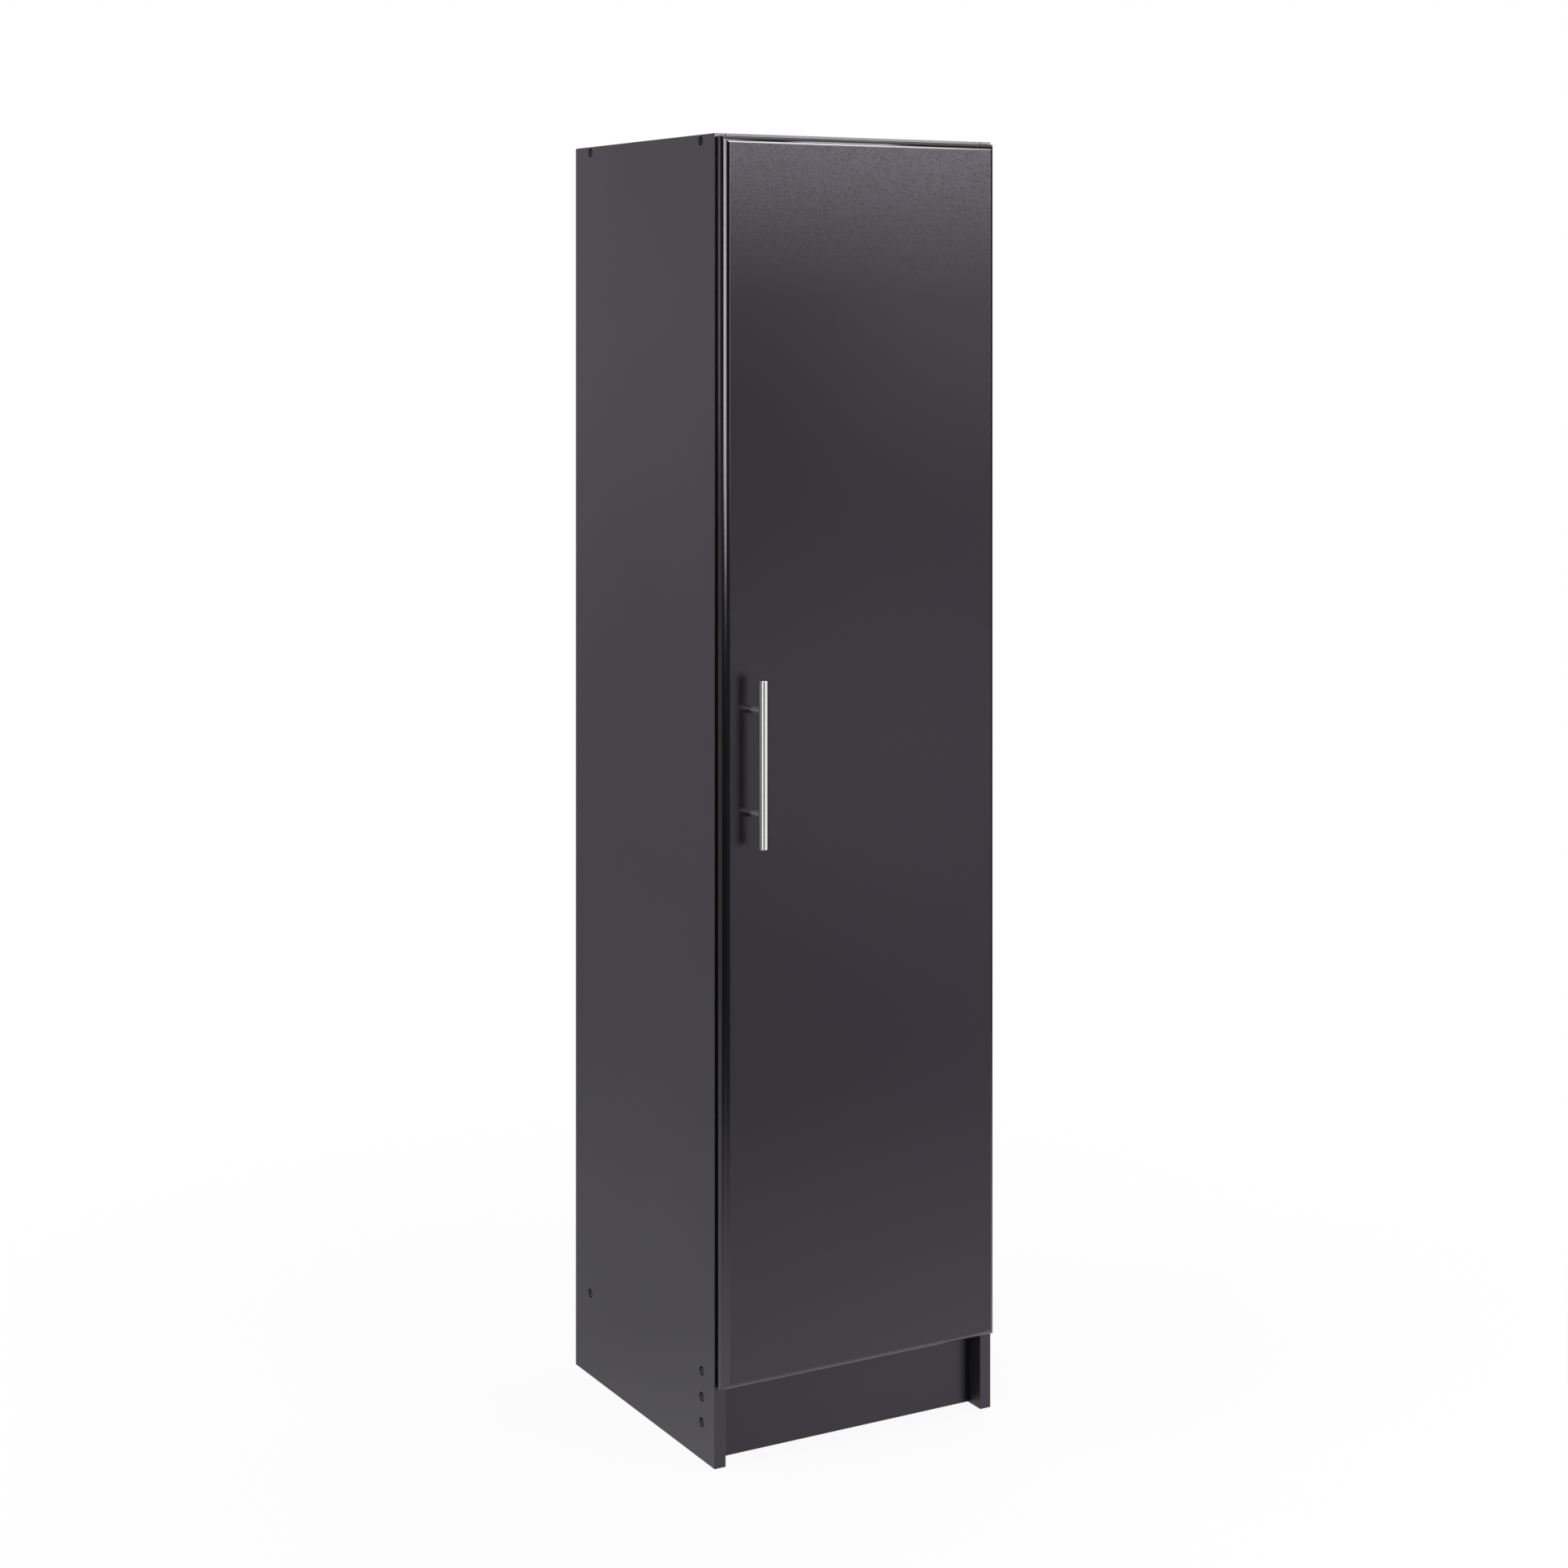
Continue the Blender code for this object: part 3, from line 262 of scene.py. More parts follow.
def laminated_board(name, raw, banded, painted_shade=1.0, specular=0.5, paper_roughness=PAPER_ROUGHNESS):
    """raw and banded are the ways that the board's raw and banded edges look."""
    material, tree, shader = new_finish(name, GRAPHITE, 0.5, specular=specular)
    shader.inputs["Specular Tint"].default_value = VIOLET_SHEEN
    coords = add_node(tree, "ShaderNodeTexCoord")
    drift = noise(tree, coords, DRIFT_PER_METRE, 4.0)
    tooth = noise(tree, coords, TOOTH_PER_METRE, 3.0)
    # A factor under 1 darkens the paper colour; on the kick plate that is painted shade.
    colour = tones(tree, drift, GRAPHITE, *(part * painted_shade for part in PAPER_SHADES))
    roughness = spread(tree, tooth, *paper_roughness)
    height = tooth
    if banded:
        # The band's darker tone is partly its own colour, partly painted shade for the gap beside
        # the door.
        mask = facing_mask(tree, coords, banded)
        colour = blend_colours(tree, mask, colour, tones(tree, tooth, GRAPHITE, *BAND_TONES_AND_PAINTED_SHADE))
        roughness = blend_values(tree, mask, roughness, spread(tree, tooth, *BAND_ROUGHNESS))
    if raw:
        mask = facing_mask(tree, coords, raw)
        chips = add_node(tree, "ShaderNodeTexVoronoi", {"Scale": CHIPS_PER_METRE})
        wire(tree, coords, "Object", chips, "Vector")
        split = add_node(tree, "ShaderNodeSeparateColor")
        wire(tree, chips, "Color", split, "Color")
        colour = blend_colours(tree, mask, colour, ramp(tree, (split, "Red"), CHIP_COLOURS))
        chip_roughness = spread(tree, (split, "Green"), *CHIP_ROUGHNESS, 0.0, 1.0)
        roughness = blend_values(tree, mask, roughness, chip_roughness)
        height = blend_values(tree, mask, height, (chips, "Distance"))
    join_up(tree, shader, colour, roughness, height, TOOTH_STRENGTH, TOOTH_HEIGHT)
    return material


def dress(material, *names):
    """Gives nodes of the frame their finish."""
    for name in names:
        slots = nodes[name].data.materials
        slots.clear()
        slots.append(material)
    print("dressed", len(names), "with", material.name)


side_board = laminated_board("side_board", [TOWARDS_WALL, TOWARDS_FLOOR], [TOWARDS_ROOM])
shelf_board = laminated_board("shelf_board", [TOWARDS_WALL, TOWARDS_LEFT, TOWARDS_RIGHT],
                              [TOWARDS_ROOM])
kick_board = laminated_board("kick_board", [TOWARDS_FLOOR, TOWARDS_CEILING], [],
                             KICK_PAINTED_SHADE, KICK_SPECULAR, KICK_ROUGHNESS)
dress(side_board, "left_side_panel", "right_side_panel")
dress(shelf_board, "top_panel", "bottom_panel", "fixed_shelf",
      "adjustable_shelf_lower", "adjustable_shelf_middle", "adjustable_shelf_upper")
dress(kick_board, "kick_plate")

# %% [markdown]
# Back panel
#
# The back is 3 mm hardboard that slides down grooves in the sides. Its inner face is printed to
# match the boards, and the face towards the wall is bare brown fibre. The same facing mask tells
# them apart, and two sizes of noise make the matted fibres.

# %% Back panel
FIBRE_BROWN = (0.23, 0.145, 0.085)
FELT_PER_METRE, FELT_STRETCH, CLOUDS_PER_METRE = 700.0, (1.0, 1.0, 0.6), 5.0
PRINT_SHADES, FIBRE_SHADES = (0.95, 1.1), (0.72, 1.2)
PRINT_ROUGHNESS, FIBRE_ROUGHNESS = (0.50, 0.60), (0.78, 0.92)
FELT_STRENGTH, FELT_HEIGHT = 0.18, 0.0003


def hardboard(name):
    material, tree, shader = new_finish(name, GRAPHITE, 0.6)
    coords = add_node(tree, "ShaderNodeTexCoord")
    felt = noise(tree, coords, FELT_PER_METRE, 5.0, FELT_STRETCH)
    cloud = noise(tree, coords, CLOUDS_PER_METRE, 3.0)
    mask = facing_mask(tree, coords, [TOWARDS_WALL])
    colour = blend_colours(tree, mask, tones(tree, cloud, GRAPHITE, *PRINT_SHADES),
                           tones(tree, felt, FIBRE_BROWN, *FIBRE_SHADES))
    roughness = blend_values(tree, mask, spread(tree, felt, *PRINT_ROUGHNESS),
                             spread(tree, felt, *FIBRE_ROUGHNESS))
    join_up(tree, shader, colour, roughness, felt, FELT_STRENGTH, FELT_HEIGHT)
    return material


dress(hardboard("hardboard"), "back_panel")

# %% [markdown]
# Door foil
#
# The door is fibreboard wrapped in a charcoal foil. On the flat face and the back the foil keeps a
# fine pebbled grain. Over the moulded rim it is stretched smooth and shinier, and its colour there
# is much darker, partly the smooth foil's own and partly painted shade. One material with a mask
# could hold both, but how strongly a surface mirrors is a plain number on the shader, so the two
# get a material each and the door's faces are shared out between them. The grain is rounded cells
# with a broader noise added. The light picks it out only on the top of the door, so a ramp over the
# height takes it from faint to lively in the bump, and in the tone, where the lively grain's dark
# and bright cells are painted shade and painted highlight.

# %% Door foils
PEBBLED_CHARCOAL = (0.0365, 0.0340, 0.0410)
# The rim foil's colour is very dark: partly the smooth foil's own tone, partly painted shade on the
# rim.
SMOOTH_CHARCOAL_PAINTED_SHADE = (0.0034, 0.0032, 0.0039)
FIELD_SPECULAR, FIELD_ROUGHNESS = 0.32, (0.27, 0.20)
PEBBLES_PER_METRE, PEBBLE_BLUR, BROAD_SHARE = 780.0, 0.6, 0.45
GRAIN_LEVELS = (0.4, 1.1)
GRAIN_LIT_FROM_TO = (1.45, 1.62)
QUIET_GRAIN = [(0.45, shade(PEBBLED_CHARCOAL, 0.98)), (1.0, shade(PEBBLED_CHARCOAL, 1.02))]
# High on the door the grain's tone swings from very dark to bright: painted shade and painted
# highlight.
GRAIN_PAINTED_LIT = [(0.68, shade(PEBBLED_CHARCOAL, 0.10)), (1.0, shade(PEBBLED_CHARCOAL, 2.10))]
GRAIN_LOW_DOWN, GRAIN_AT_TOP, GRAIN_HEIGHT = 0.04, 0.20, 0.0003
RIM_SPECULAR, RIM_ROUGHNESS = 1.0, (0.12, 0.15)
RIM_DRIFT_PER_METRE, RIM_SHADES = 3.0, (0.95, 1.06)
RIPPLES_PER_METRE, RIPPLE_STRENGTH, RIPPLE_HEIGHT = 90.0, 0.04, 0.0004


def pebbled_foil(name):
    material, tree, shader = new_finish(name, PEBBLED_CHARCOAL, 0.25, specular=FIELD_SPECULAR)
    shader.inputs["Specular Tint"].default_value = VIOLET_SHEEN
    coords = add_node(tree, "ShaderNodeTexCoord")
    pebbles = add_node(tree, "ShaderNodeTexVoronoi",
                       {"Scale": PEBBLES_PER_METRE, "Smoothness": PEBBLE_BLUR}, feature="SMOOTH_F1")
    wire(tree, coords, "Object", pebbles, "Vector")
    broad = noise(tree, coords, PEBBLES_PER_METRE * BROAD_SHARE, 3.0)
    grain = combine(tree, "ADD", (pebbles, "Distance"), broad)
    split = add_node(tree, "ShaderNodeSeparateXYZ")
    wire(tree, coords, "Object", split, 0)
    # The ramp over the height also brings in the painted shade and highlight in the grain's tone.
    high_up = spread(tree, (split, "Z"), 0.0, 1.0, *GRAIN_LIT_FROM_TO)
    colour = blend_colours(tree, high_up, ramp(tree, grain, QUIET_GRAIN),
                           ramp(tree, grain, GRAIN_PAINTED_LIT))
    roughness = spread(tree, grain, *FIELD_ROUGHNESS, *GRAIN_LEVELS)
    bump = join_up(tree, shader, colour, roughness, grain, GRAIN_AT_TOP, GRAIN_HEIGHT)
    wire(tree, *blend_values(tree, high_up, GRAIN_LOW_DOWN, GRAIN_AT_TOP), bump, "Strength")
    return material


# Its base colour carries painted shade for the moulded rim.
def smooth_foil(name):
    material, tree, shader = new_finish(name, SMOOTH_CHARCOAL_PAINTED_SHADE, 0.13, specular=RIM_SPECULAR)
    shader.inputs["Specular Tint"].default_value = VIOLET_SHEEN
    coords = add_node(tree, "ShaderNodeTexCoord")
    drift = noise(tree, coords, RIM_DRIFT_PER_METRE, 3.0)
    ripple = noise(tree, coords, RIPPLES_PER_METRE)
    join_up(tree, shader, tones(tree, drift, SMOOTH_CHARCOAL_PAINTED_SHADE, *RIM_SHADES),
            spread(tree, drift, *RIM_ROUGHNESS), ripple, RIPPLE_STRENGTH, RIPPLE_HEIGHT)
    return material


field_foil = pebbled_foil("pebbled_foil")
rim_foil = smooth_foil("smooth_foil")
print("door foils:", field_foil.name, rim_foil.name)

# %% [markdown]
# Mesh helpers
#
# A new piece starts in a bmesh, is shaped by operators and then becomes a mesh at its real place,
# on an object that stays at the origin. A shape with holes is cut with a Boolean and kept as a
# plain mesh, because a cutter left in the scene would count as a piece. Weighted normals come last:
# they let a wide flat face keep its own shading beside a narrow rounded edge.

# %% Mesh helpers
SMOOTH_BELOW_DEG = 38
MERGE_WITHIN = 0.000001


def to_mesh(bm, name):
    bmesh.ops.recalc_face_normals(bm, faces=bm.faces)
    mesh = bpy.data.meshes.new(name)
    bm.to_mesh(mesh)
    bm.free()
    return mesh


def cut_away(mesh, cutter):
    """The mesh that is left when the cutter's space is taken out of it."""
    blank = bpy.data.objects.new("blank", mesh)
    tool = bpy.data.objects.new("cutter", cutter)
    for obj in (blank, tool):
        bpy.context.scene.collection.objects.link(obj)
    step = blank.modifiers.new("cut", "BOOLEAN")
    step.operation = "DIFFERENCE"
    step.solver = "EXACT"
    step.use_self = True
    step.object = tool
    depsgraph = bpy.context.evaluated_depsgraph_get()
    left = bpy.data.meshes.new_from_object(blank.evaluated_get(depsgraph))
    for obj in (blank, tool):
        bpy.data.objects.remove(obj, do_unlink=True)
    return left


def finished(name, mesh, material, body, slot, *replaced):
    """One piece of the dressed cabinet: it rides on a body and may stand for nodes of the frame."""
    mesh.name = name
    mesh.materials.clear()
    mesh.materials.append(material)
    mesh.shade_smooth()
    mesh.set_sharp_from_angle(angle=math.radians(SMOOTH_BELOW_DEG))
    obj = bpy.data.objects.new(name, mesh)
    bpy.context.scene.collection.objects.link(obj)
    weighted = obj.modifiers.new("even_shading", "WEIGHTED_NORMAL")
    weighted.keep_sharp = True
    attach(obj, body)
    if replaced:
        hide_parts(*replaced)
    return obj


def turn_towards(direction):
    """The rotation that takes +Z to a direction."""
    return Vector(direction).to_track_quat("Z", "Y").to_matrix().to_4x4()


def add_rod(bm, start, direction, length, radius, segments=48):
    along = Vector(direction).normalized()
    matrix = Matrix.Translation(Vector(start) + along * length / 2) @ turn_towards(along)
    return bmesh.ops.create_cone(bm, cap_ends=True, segments=segments, radius1=radius,
                                 radius2=radius, depth=length, matrix=matrix)["verts"]


def lathe(profile, steps):
    """Spins (radius, height) points, from the top's middle to the bottom's, round the Z axis."""
    bm = bmesh.new()
    line = [bm.verts.new((radius, 0.0, height)) for radius, height in profile]
    line += [bm.edges.new(pair) for pair in zip(line, line[1:])]
    bmesh.ops.spin(bm, geom=line, cent=(0, 0, 0), axis=(0, 0, 1), angle=2 * math.pi,
                   steps=steps, use_merge=True)
    bmesh.ops.remove_doubles(bm, verts=bm.verts, dist=MERGE_WITHIN)
    return bm


def rounded(centre, radius, start_deg, end_deg, steps=5):
    """Points of a rounded corner, for a lathe's profile."""
    angles = [math.radians(start_deg + (end_deg - start_deg) * n / steps) for n in range(steps + 1)]
    return [(centre[0] + radius * math.cos(a), centre[1] + radius * math.sin(a)) for a in angles]


def round_rod(radius, top, bottom, edge):
    """A lathe profile for a rod whose two ends are rounded over."""
    upper = rounded((radius - edge, top - edge), edge, 90, 0)
    lower = rounded((radius - edge, bottom + edge), edge, 0, -90)
    return [(0.0, top), *upper, *lower, (0.0, bottom)]

# %% [markdown]
# Door leaf
#
# Seen from the front the door has a raised flat field and a moulded rim: a round that falls away to
# the outer edge, and a steep little step up to the field. Pressing rings into one face of a box
# gives exactly that, and the rings meet in clean mitres at the corners as a router's cuts do. The
# round starts at the outer edge with a small flat facet, because there it would look the same way
# as the step and mirror the same lamp a second time. The lines where the step meets the field and
# the round, and the one round the back, are then bevelled, because foil can't turn a knife-sharp
# corner.

# %% Door leaf
ROUND_WIDTH, ROUND_DEPTH = 0.0060, 0.0068
ROUND_START, ROUND_TURN, ROUND_STEPS = math.radians(30), math.radians(65), 10
STEP_WIDTH, STEP_DEPTH = 0.0024, 0.0041
FOIL_RADIUS = 0.0004
BACK_ARRIS = 0.0010
SAME_PLANE, ON_THE_PLANE, FLAT_ENOUGH = 0.00001, 0.0001, 0.999
door_low, door_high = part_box("door")


def edges_at_depth(bm, y):
    return [edge for edge in bm.edges
            if all(abs(vert.co.y - y) < SAME_PLANE for vert in edge.verts)]


def soften_edges(bm, edges, width, segments=3):
    bmesh.ops.bevel(bm, geom=edges, offset=width, offset_type="OFFSET", segments=segments,
                    profile=0.5, affect="EDGES", material=-1, clamp_overlap=True)


def moulded_leaf():
    rim_front = door_low.y + ROUND_DEPTH + STEP_DEPTH
    low, high = Vector((door_low.x, rim_front, door_low.z)), door_high
    bm = bmesh.new()
    matrix = Matrix.Translation((low + high) / 2) @ Matrix.Diagonal((*(high - low), 1.0))
    bmesh.ops.create_cube(bm, size=1.0, matrix=matrix)
    bm.normal_update()
    front = [face for face in bm.faces if face.normal.y < -0.5]
    rings, reached = [], (0.0, 0.0)
    for step in range(ROUND_STEPS + 1):
        turn = ROUND_START + (ROUND_TURN - ROUND_START) * step / ROUND_STEPS
        rings.append((ROUND_WIDTH * (1 - math.cos(turn)) / (1 - math.cos(ROUND_TURN)),
                      ROUND_DEPTH * math.sin(turn) / math.sin(ROUND_TURN)))
    rings.append((ROUND_WIDTH + STEP_WIDTH, ROUND_DEPTH + STEP_DEPTH))
    for ring in rings:
        bmesh.ops.inset_region(bm, faces=front, use_even_offset=True,
                               thickness=ring[0] - reached[0], depth=ring[1] - reached[1])
        reached = ring
    soften_edges(bm, edges_at_depth(bm, door_low.y), FOIL_RADIUS)
    soften_edges(bm, edges_at_depth(bm, rim_front - ROUND_DEPTH), FOIL_RADIUS)
    soften_edges(bm, edges_at_depth(bm, door_high.y), BACK_ARRIS, 4)
    return to_mesh(bm, "leaf")


CUP_BORE_RADIUS, CUP_BORE_DEPTH, CUP_RIM_RADIUS = 0.0175, 0.009, 0.0180
PEG_OFFSET, PEG_CENTRES, PEG_HOLE_RADIUS, PEG_HOLE_DEPTH = 0.0095, 0.045, 0.0043, 0.0083
SCREW_HOLE_RADIUS = 0.0023
CUT_PAST = 0.002
BORE_SEGMENTS, HOLE_SEGMENTS = 72, 24
LEVELS = ("upper", "middle", "lower")


def middle_of(name):
    low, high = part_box(name)
    return (low + high) / 2


def door_borings():
    bm = bmesh.new()
    into, back = (0, -1, 0), door_high.y + CUT_PAST
    for label in LEVELS:
        height = middle_of("hinge_cup_" + label).z
        cup_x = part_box("hinge_cup_" + label)[1].x - CUP_RIM_RADIUS
        add_rod(bm, (cup_x, back, height), into, CUP_BORE_DEPTH + CUT_PAST, CUP_BORE_RADIUS,
                BORE_SEGMENTS)
        for sign in (-1, 1):
            place = (cup_x - PEG_OFFSET, back, height + sign * PEG_CENTRES / 2)
            add_rod(bm, place, into, PEG_HOLE_DEPTH + CUT_PAST, PEG_HOLE_RADIUS, HOLE_SEGMENTS)
    for label in ("upper", "lower"):
        screw = middle_of("handle_screw_" + label)
        add_rod(bm, (screw.x, back, screw.z), into, door_high.y - door_low.y + 2 * CUT_PAST,
                SCREW_HOLE_RADIUS, HOLE_SEGMENTS)
    return to_mesh(bm, "borings")


leaf = finished("door_leaf", cut_away(moulded_leaf(), door_borings()), field_foil,
                "door", "door_leaf", "door")
leaf.data.materials.append(rim_foil)
for face in leaf.data.polygons:
    from_plane = min(abs(face.center.y - door_low.y), abs(face.center.y - door_high.y))
    on_field_or_back = abs(face.normal.y) > FLAT_ENOUGH and from_plane < ON_THE_PLANE
    face.material_index = 0 if on_field_or_back else 1
print("door leaf:", len(leaf.data.polygons), "faces")

# %% [markdown]
# Nickel handle
#
# The handle is a 12 mm bar on two slim posts, in bright nickel. Turning it on a lathe leaves rings
# too fine to see singly, which stretch a highlight a little along the bar, so the bump is a noise
# that changes fast along the bar and hardly at all around it. The posts are a little hazier than
# the bar. The bar's ends are rounded over by 0.8 mm and the posts' by half of that.

# %% Nickel finish
NICKEL_COLOUR = (0.655, 0.65, 0.655)
BAR_ROUGHNESS = 0.06
POST_ROUGHNESS, POST_STRENGTH, POST_METALLIC = 0.19, 0.10, 0.88
MARKS_PER_METRE, HAZE_PER_METRE = 60.0, 90.0
MARK_SHADES, HAZE_SPREAD, MARK_HEIGHT = (0.94, 1.04), (0.85, 1.15), 0.0001
NO_AXIS = (1.0, 1.0, 1.0)
ALONG_X, ALONG_Y, ALONG_Z = (60.0, 1.0, 1.0), (1.0, 60.0, 1.0), (1.0, 1.0, 60.0)


def turned_metal(name, colour, roughness, squeeze, strength=0.05, metallic=1.0):
    """A metal with fine turning marks; squeeze is large along the turning axis."""
    material, tree, shader = new_finish(name, colour, roughness, metallic=metallic)
    coords = add_node(tree, "ShaderNodeTexCoord")
    marks = noise(tree, coords, MARKS_PER_METRE, 4.0, squeeze)
    haze = noise(tree, coords, HAZE_PER_METRE)
    join_up(tree, shader, tones(tree, marks, colour, *MARK_SHADES),
            spread(tree, haze, *(part * roughness for part in HAZE_SPREAD)),
            marks, strength, MARK_HEIGHT)
    return material


bar_nickel = turned_metal("bar_nickel", NICKEL_COLOUR, BAR_ROUGHNESS, ALONG_Z)
post_nickel = turned_metal("post_nickel", NICKEL_COLOUR, POST_ROUGHNESS, ALONG_Y,
                           POST_STRENGTH, POST_METALLIC)

# %% Handle bar and posts
BAR_EDGE = 0.0008
POST_GAP = 0.0003
POST_BORE_DEPTH = 0.0143
BAR_SEGMENTS, POST_SEGMENTS, COPE_SEGMENTS = 72, 48, 96
bar_low, bar_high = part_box("handle_bar")
bar_middle = (bar_low + bar_high) / 2
bar_radius = (bar_high.x - bar_low.x) / 2


def handle_bar():
    half = (bar_high.z - bar_low.z) / 2
    bm = lathe(round_rod(bar_radius, half, -half, BAR_EDGE), BAR_SEGMENTS)
    bmesh.ops.translate(bm, verts=bm.verts, vec=bar_middle)
    return to_mesh(bm, "bar")


def handle_post(label):
    """A post whose end is hollowed to sit against the bar, bored for its screw."""
    low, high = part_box("handle_post_" + label)
    foot = Vector((bar_middle.x, high.y, (low.z + high.z) / 2))
    radius = (high.z - low.z) / 2
    bm = lathe(round_rod(radius, high.y - bar_middle.y, 0.0, BAR_EDGE / 2), POST_SEGMENTS)
    bmesh.ops.transform(bm, verts=bm.verts,
                        matrix=Matrix.Translation(foot) @ turn_towards((0, -1, 0)))
    cutter = bmesh.new()
    start = Vector((bar_middle.x, bar_middle.y, foot.z - radius * 2))
    add_rod(cutter, start, (0, 0, 1), radius * 4, bar_radius + POST_GAP, COPE_SEGMENTS)
    bored = cut_away(to_mesh(bm, "post"), to_mesh(cutter, "cope"))
    cutter = bmesh.new()
    add_rod(cutter, foot + Vector((0, CUT_PAST, 0)), (0, -1, 0), POST_BORE_DEPTH + CUT_PAST,
            SCREW_HOLE_RADIUS, HOLE_SEGMENTS)
    return cut_away(bored, to_mesh(cutter, "thread"))


bar_pieces = bpy.data.collections.new("bar_pieces")
bar_pieces.objects.link(finished("handle_bar_turned", handle_bar(), bar_nickel,
                                 "door", "handle_metal", "handle_bar"))
for label in ("upper", "lower"):
    finished("handle_post_turned_" + label, handle_post(label), post_nickel,
             "door", "handle_metal", "handle_post_" + label)
print("handle bar:", round((bar_high.z - bar_low.z) * 1000, 1), "mm long")

# %% [markdown]
# Screws
#
# The side panels are pulled on to the boards between them by dark screws, whose heads sit 3 mm deep
# in round pockets. A head is a lathe shape with a softly domed top, and its cross recess is cut by
# two tapered blades. It is made once and copied, each copy with its cross turned to another angle,
# because nobody stops every screw at the same one.

# %% Screws
HEAD_SEGMENTS = 32
BLACK_COLOUR, ZINC_COLOUR = (0.050, 0.050, 0.054), (0.52, 0.52, 0.50)
BLADE_THICKNESS, BLADE_HEIGHT, BLADE_POINT = 0.24, 1.5, 0.45
HEAD_ROUND, RECESS_WIDTH, RECESS_DEPTH = 0.55, 1.05, 0.8
random.seed(16)
screw_black = turned_metal("screw_black", BLACK_COLOUR, 0.42, NO_AXIS, 0.02)
zinc = turned_metal("zinc", ZINC_COLOUR, 0.34, NO_AXIS, 0.03)


def cross_recess(width, depth, top):
    """Two crossed blades, narrower at their points, that stand over a screw's head."""
    bm = bmesh.new()
    for turn in (0, 90):
        matrix = (Matrix.Rotation(math.radians(turn), 4, "Z")
                  @ Matrix.Translation((0, 0, top - depth / 2)))
        size = Matrix.Diagonal((width, width * BLADE_THICKNESS, depth * BLADE_HEIGHT, 1.0))
        blade = bmesh.ops.create_cube(bm, size=1.0, matrix=matrix @ size)["verts"]
        low = [vert for vert in blade if vert.co.z < top - depth / 2]
        bmesh.ops.scale(bm, verts=low, vec=(BLADE_POINT, BLADE_POINT, 1.0))
    return to_mesh(bm, "recess")


def pan_screw(radius, length, head_radius, head_height):
    """A screw on +Z whose head rests on z = 0."""
    edge = head_height * HEAD_ROUND
    dome = rounded((head_radius - edge, head_height - edge), edge, 90, 0, 6)
    profile = [(0.0, head_height), *dome, (head_radius, 0.0), (radius, 0.0),
               (radius, -length + radius * 2), (0.0, -length)]
    mesh = to_mesh(lathe(profile, HEAD_SEGMENTS), "screw")
    recess = cross_recess(head_radius * RECESS_WIDTH, head_height * RECESS_DEPTH, head_height)
    return cut_away(mesh, recess)


def placed(mesh, place, direction, turn_deg=0.0):
    """A copy of a mesh, turned about its own Z, pointed a way and moved to its place."""
    copy = mesh.copy()
    copy.transform(Matrix.Translation(place) @ turn_towards(direction)
                   @ Matrix.Rotation(math.radians(turn_deg), 4, "Z"))
    return copy


PANEL_SCREW = {"radius": 0.0024, "length": 0.046, "head_radius": 0.0044, "head_height": 0.0024}
HANDLE_SCREW = {"radius": 0.0020, "length": 0.0302, "head_radius": 0.0034, "head_height": 0.0013}
SCREW_SPOTS = ("top_front", "top_rear", "bottom_front", "bottom_rear", "kick_upper", "kick_lower")
panel_screw = pan_screw(**PANEL_SCREW)
handle_screw = pan_screw(**HANDLE_SCREW)
for side, outward in (("left", -1), ("right", 1)):
    for spot in SCREW_SPOTS:
        node = side + "_screw_" + spot
        low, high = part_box(node)
        head = (low.x if outward < 0 else high.x) - outward * PANEL_SCREW["head_height"]
        place = (head, (low.y + high.y) / 2, (low.z + high.z) / 2)
        turned = placed(panel_screw, place, (outward, 0, 0), random.uniform(0, 90))
        finished(node + "_cross", turned, screw_black, "cabinet", "panel_screw", node)
for label in ("upper", "lower"):
    node = "handle_screw_" + label
    low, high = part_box(node)
    place = ((low.x + high.x) / 2, high.y - HANDLE_SCREW["head_height"], (low.z + high.z) / 2)
    turned = placed(handle_screw, place, (0, 1, 0), random.uniform(0, 90))
    finished(node + "_cross", turned, zinc, "door", "screw_zinc", node)
print("screws:", 2 * len(SCREW_SPOTS) + 2)

# %% [markdown]
# Shelf pins, bumpers and nails
#
# A loose shelf lies on four turned steel pins. Each has a plug for its 5 mm hole, a thin collar
# that stops it, and a peg under the shelf. The door closes against two soft clear pads, and three
# rows of small domed nails hold the thin back to the rear edges of the boards. All three are lathe
# shapes.

# %% Shelf pins
PIN_PLUG_RADIUS, PIN_PLUG = 0.0022, 0.009
PIN_COLLAR_RADIUS, PIN_COLLAR = 0.0040, 0.0012
PIN_PEG_RADIUS, PIN_PEG = 0.0025, 0.007
PIN_EDGE, COLLAR_EDGE, PIN_SEGMENTS = 0.0005, 0.0003, 32
PIN_COLOUR = (0.54, 0.53, 0.51)
pin_steel = turned_metal("pin_steel", PIN_COLOUR, 0.30, ALONG_X, 0.03)


def shelf_pin():
    """A pin whose collar's back is at z = 0 and whose peg looks up."""
    tip = PIN_COLLAR + PIN_PEG
    peg = rounded((PIN_PEG_RADIUS - PIN_EDGE, tip - PIN_EDGE), PIN_EDGE, 90, 0)
    collar = rounded((PIN_COLLAR_RADIUS - COLLAR_EDGE, PIN_COLLAR - COLLAR_EDGE),
                     COLLAR_EDGE, 90, 0)
    plug = rounded((PIN_PLUG_RADIUS - PIN_EDGE, -PIN_PLUG + PIN_EDGE), PIN_EDGE, 0, -90)
    profile = [(0.0, tip), *peg, (PIN_PEG_RADIUS, PIN_COLLAR), *collar,
               (PIN_COLLAR_RADIUS, 0.0), (PIN_PLUG_RADIUS, 0.0), *plug, (0.0, -PIN_PLUG)]
    return to_mesh(lathe(profile, PIN_SEGMENTS), "pin")


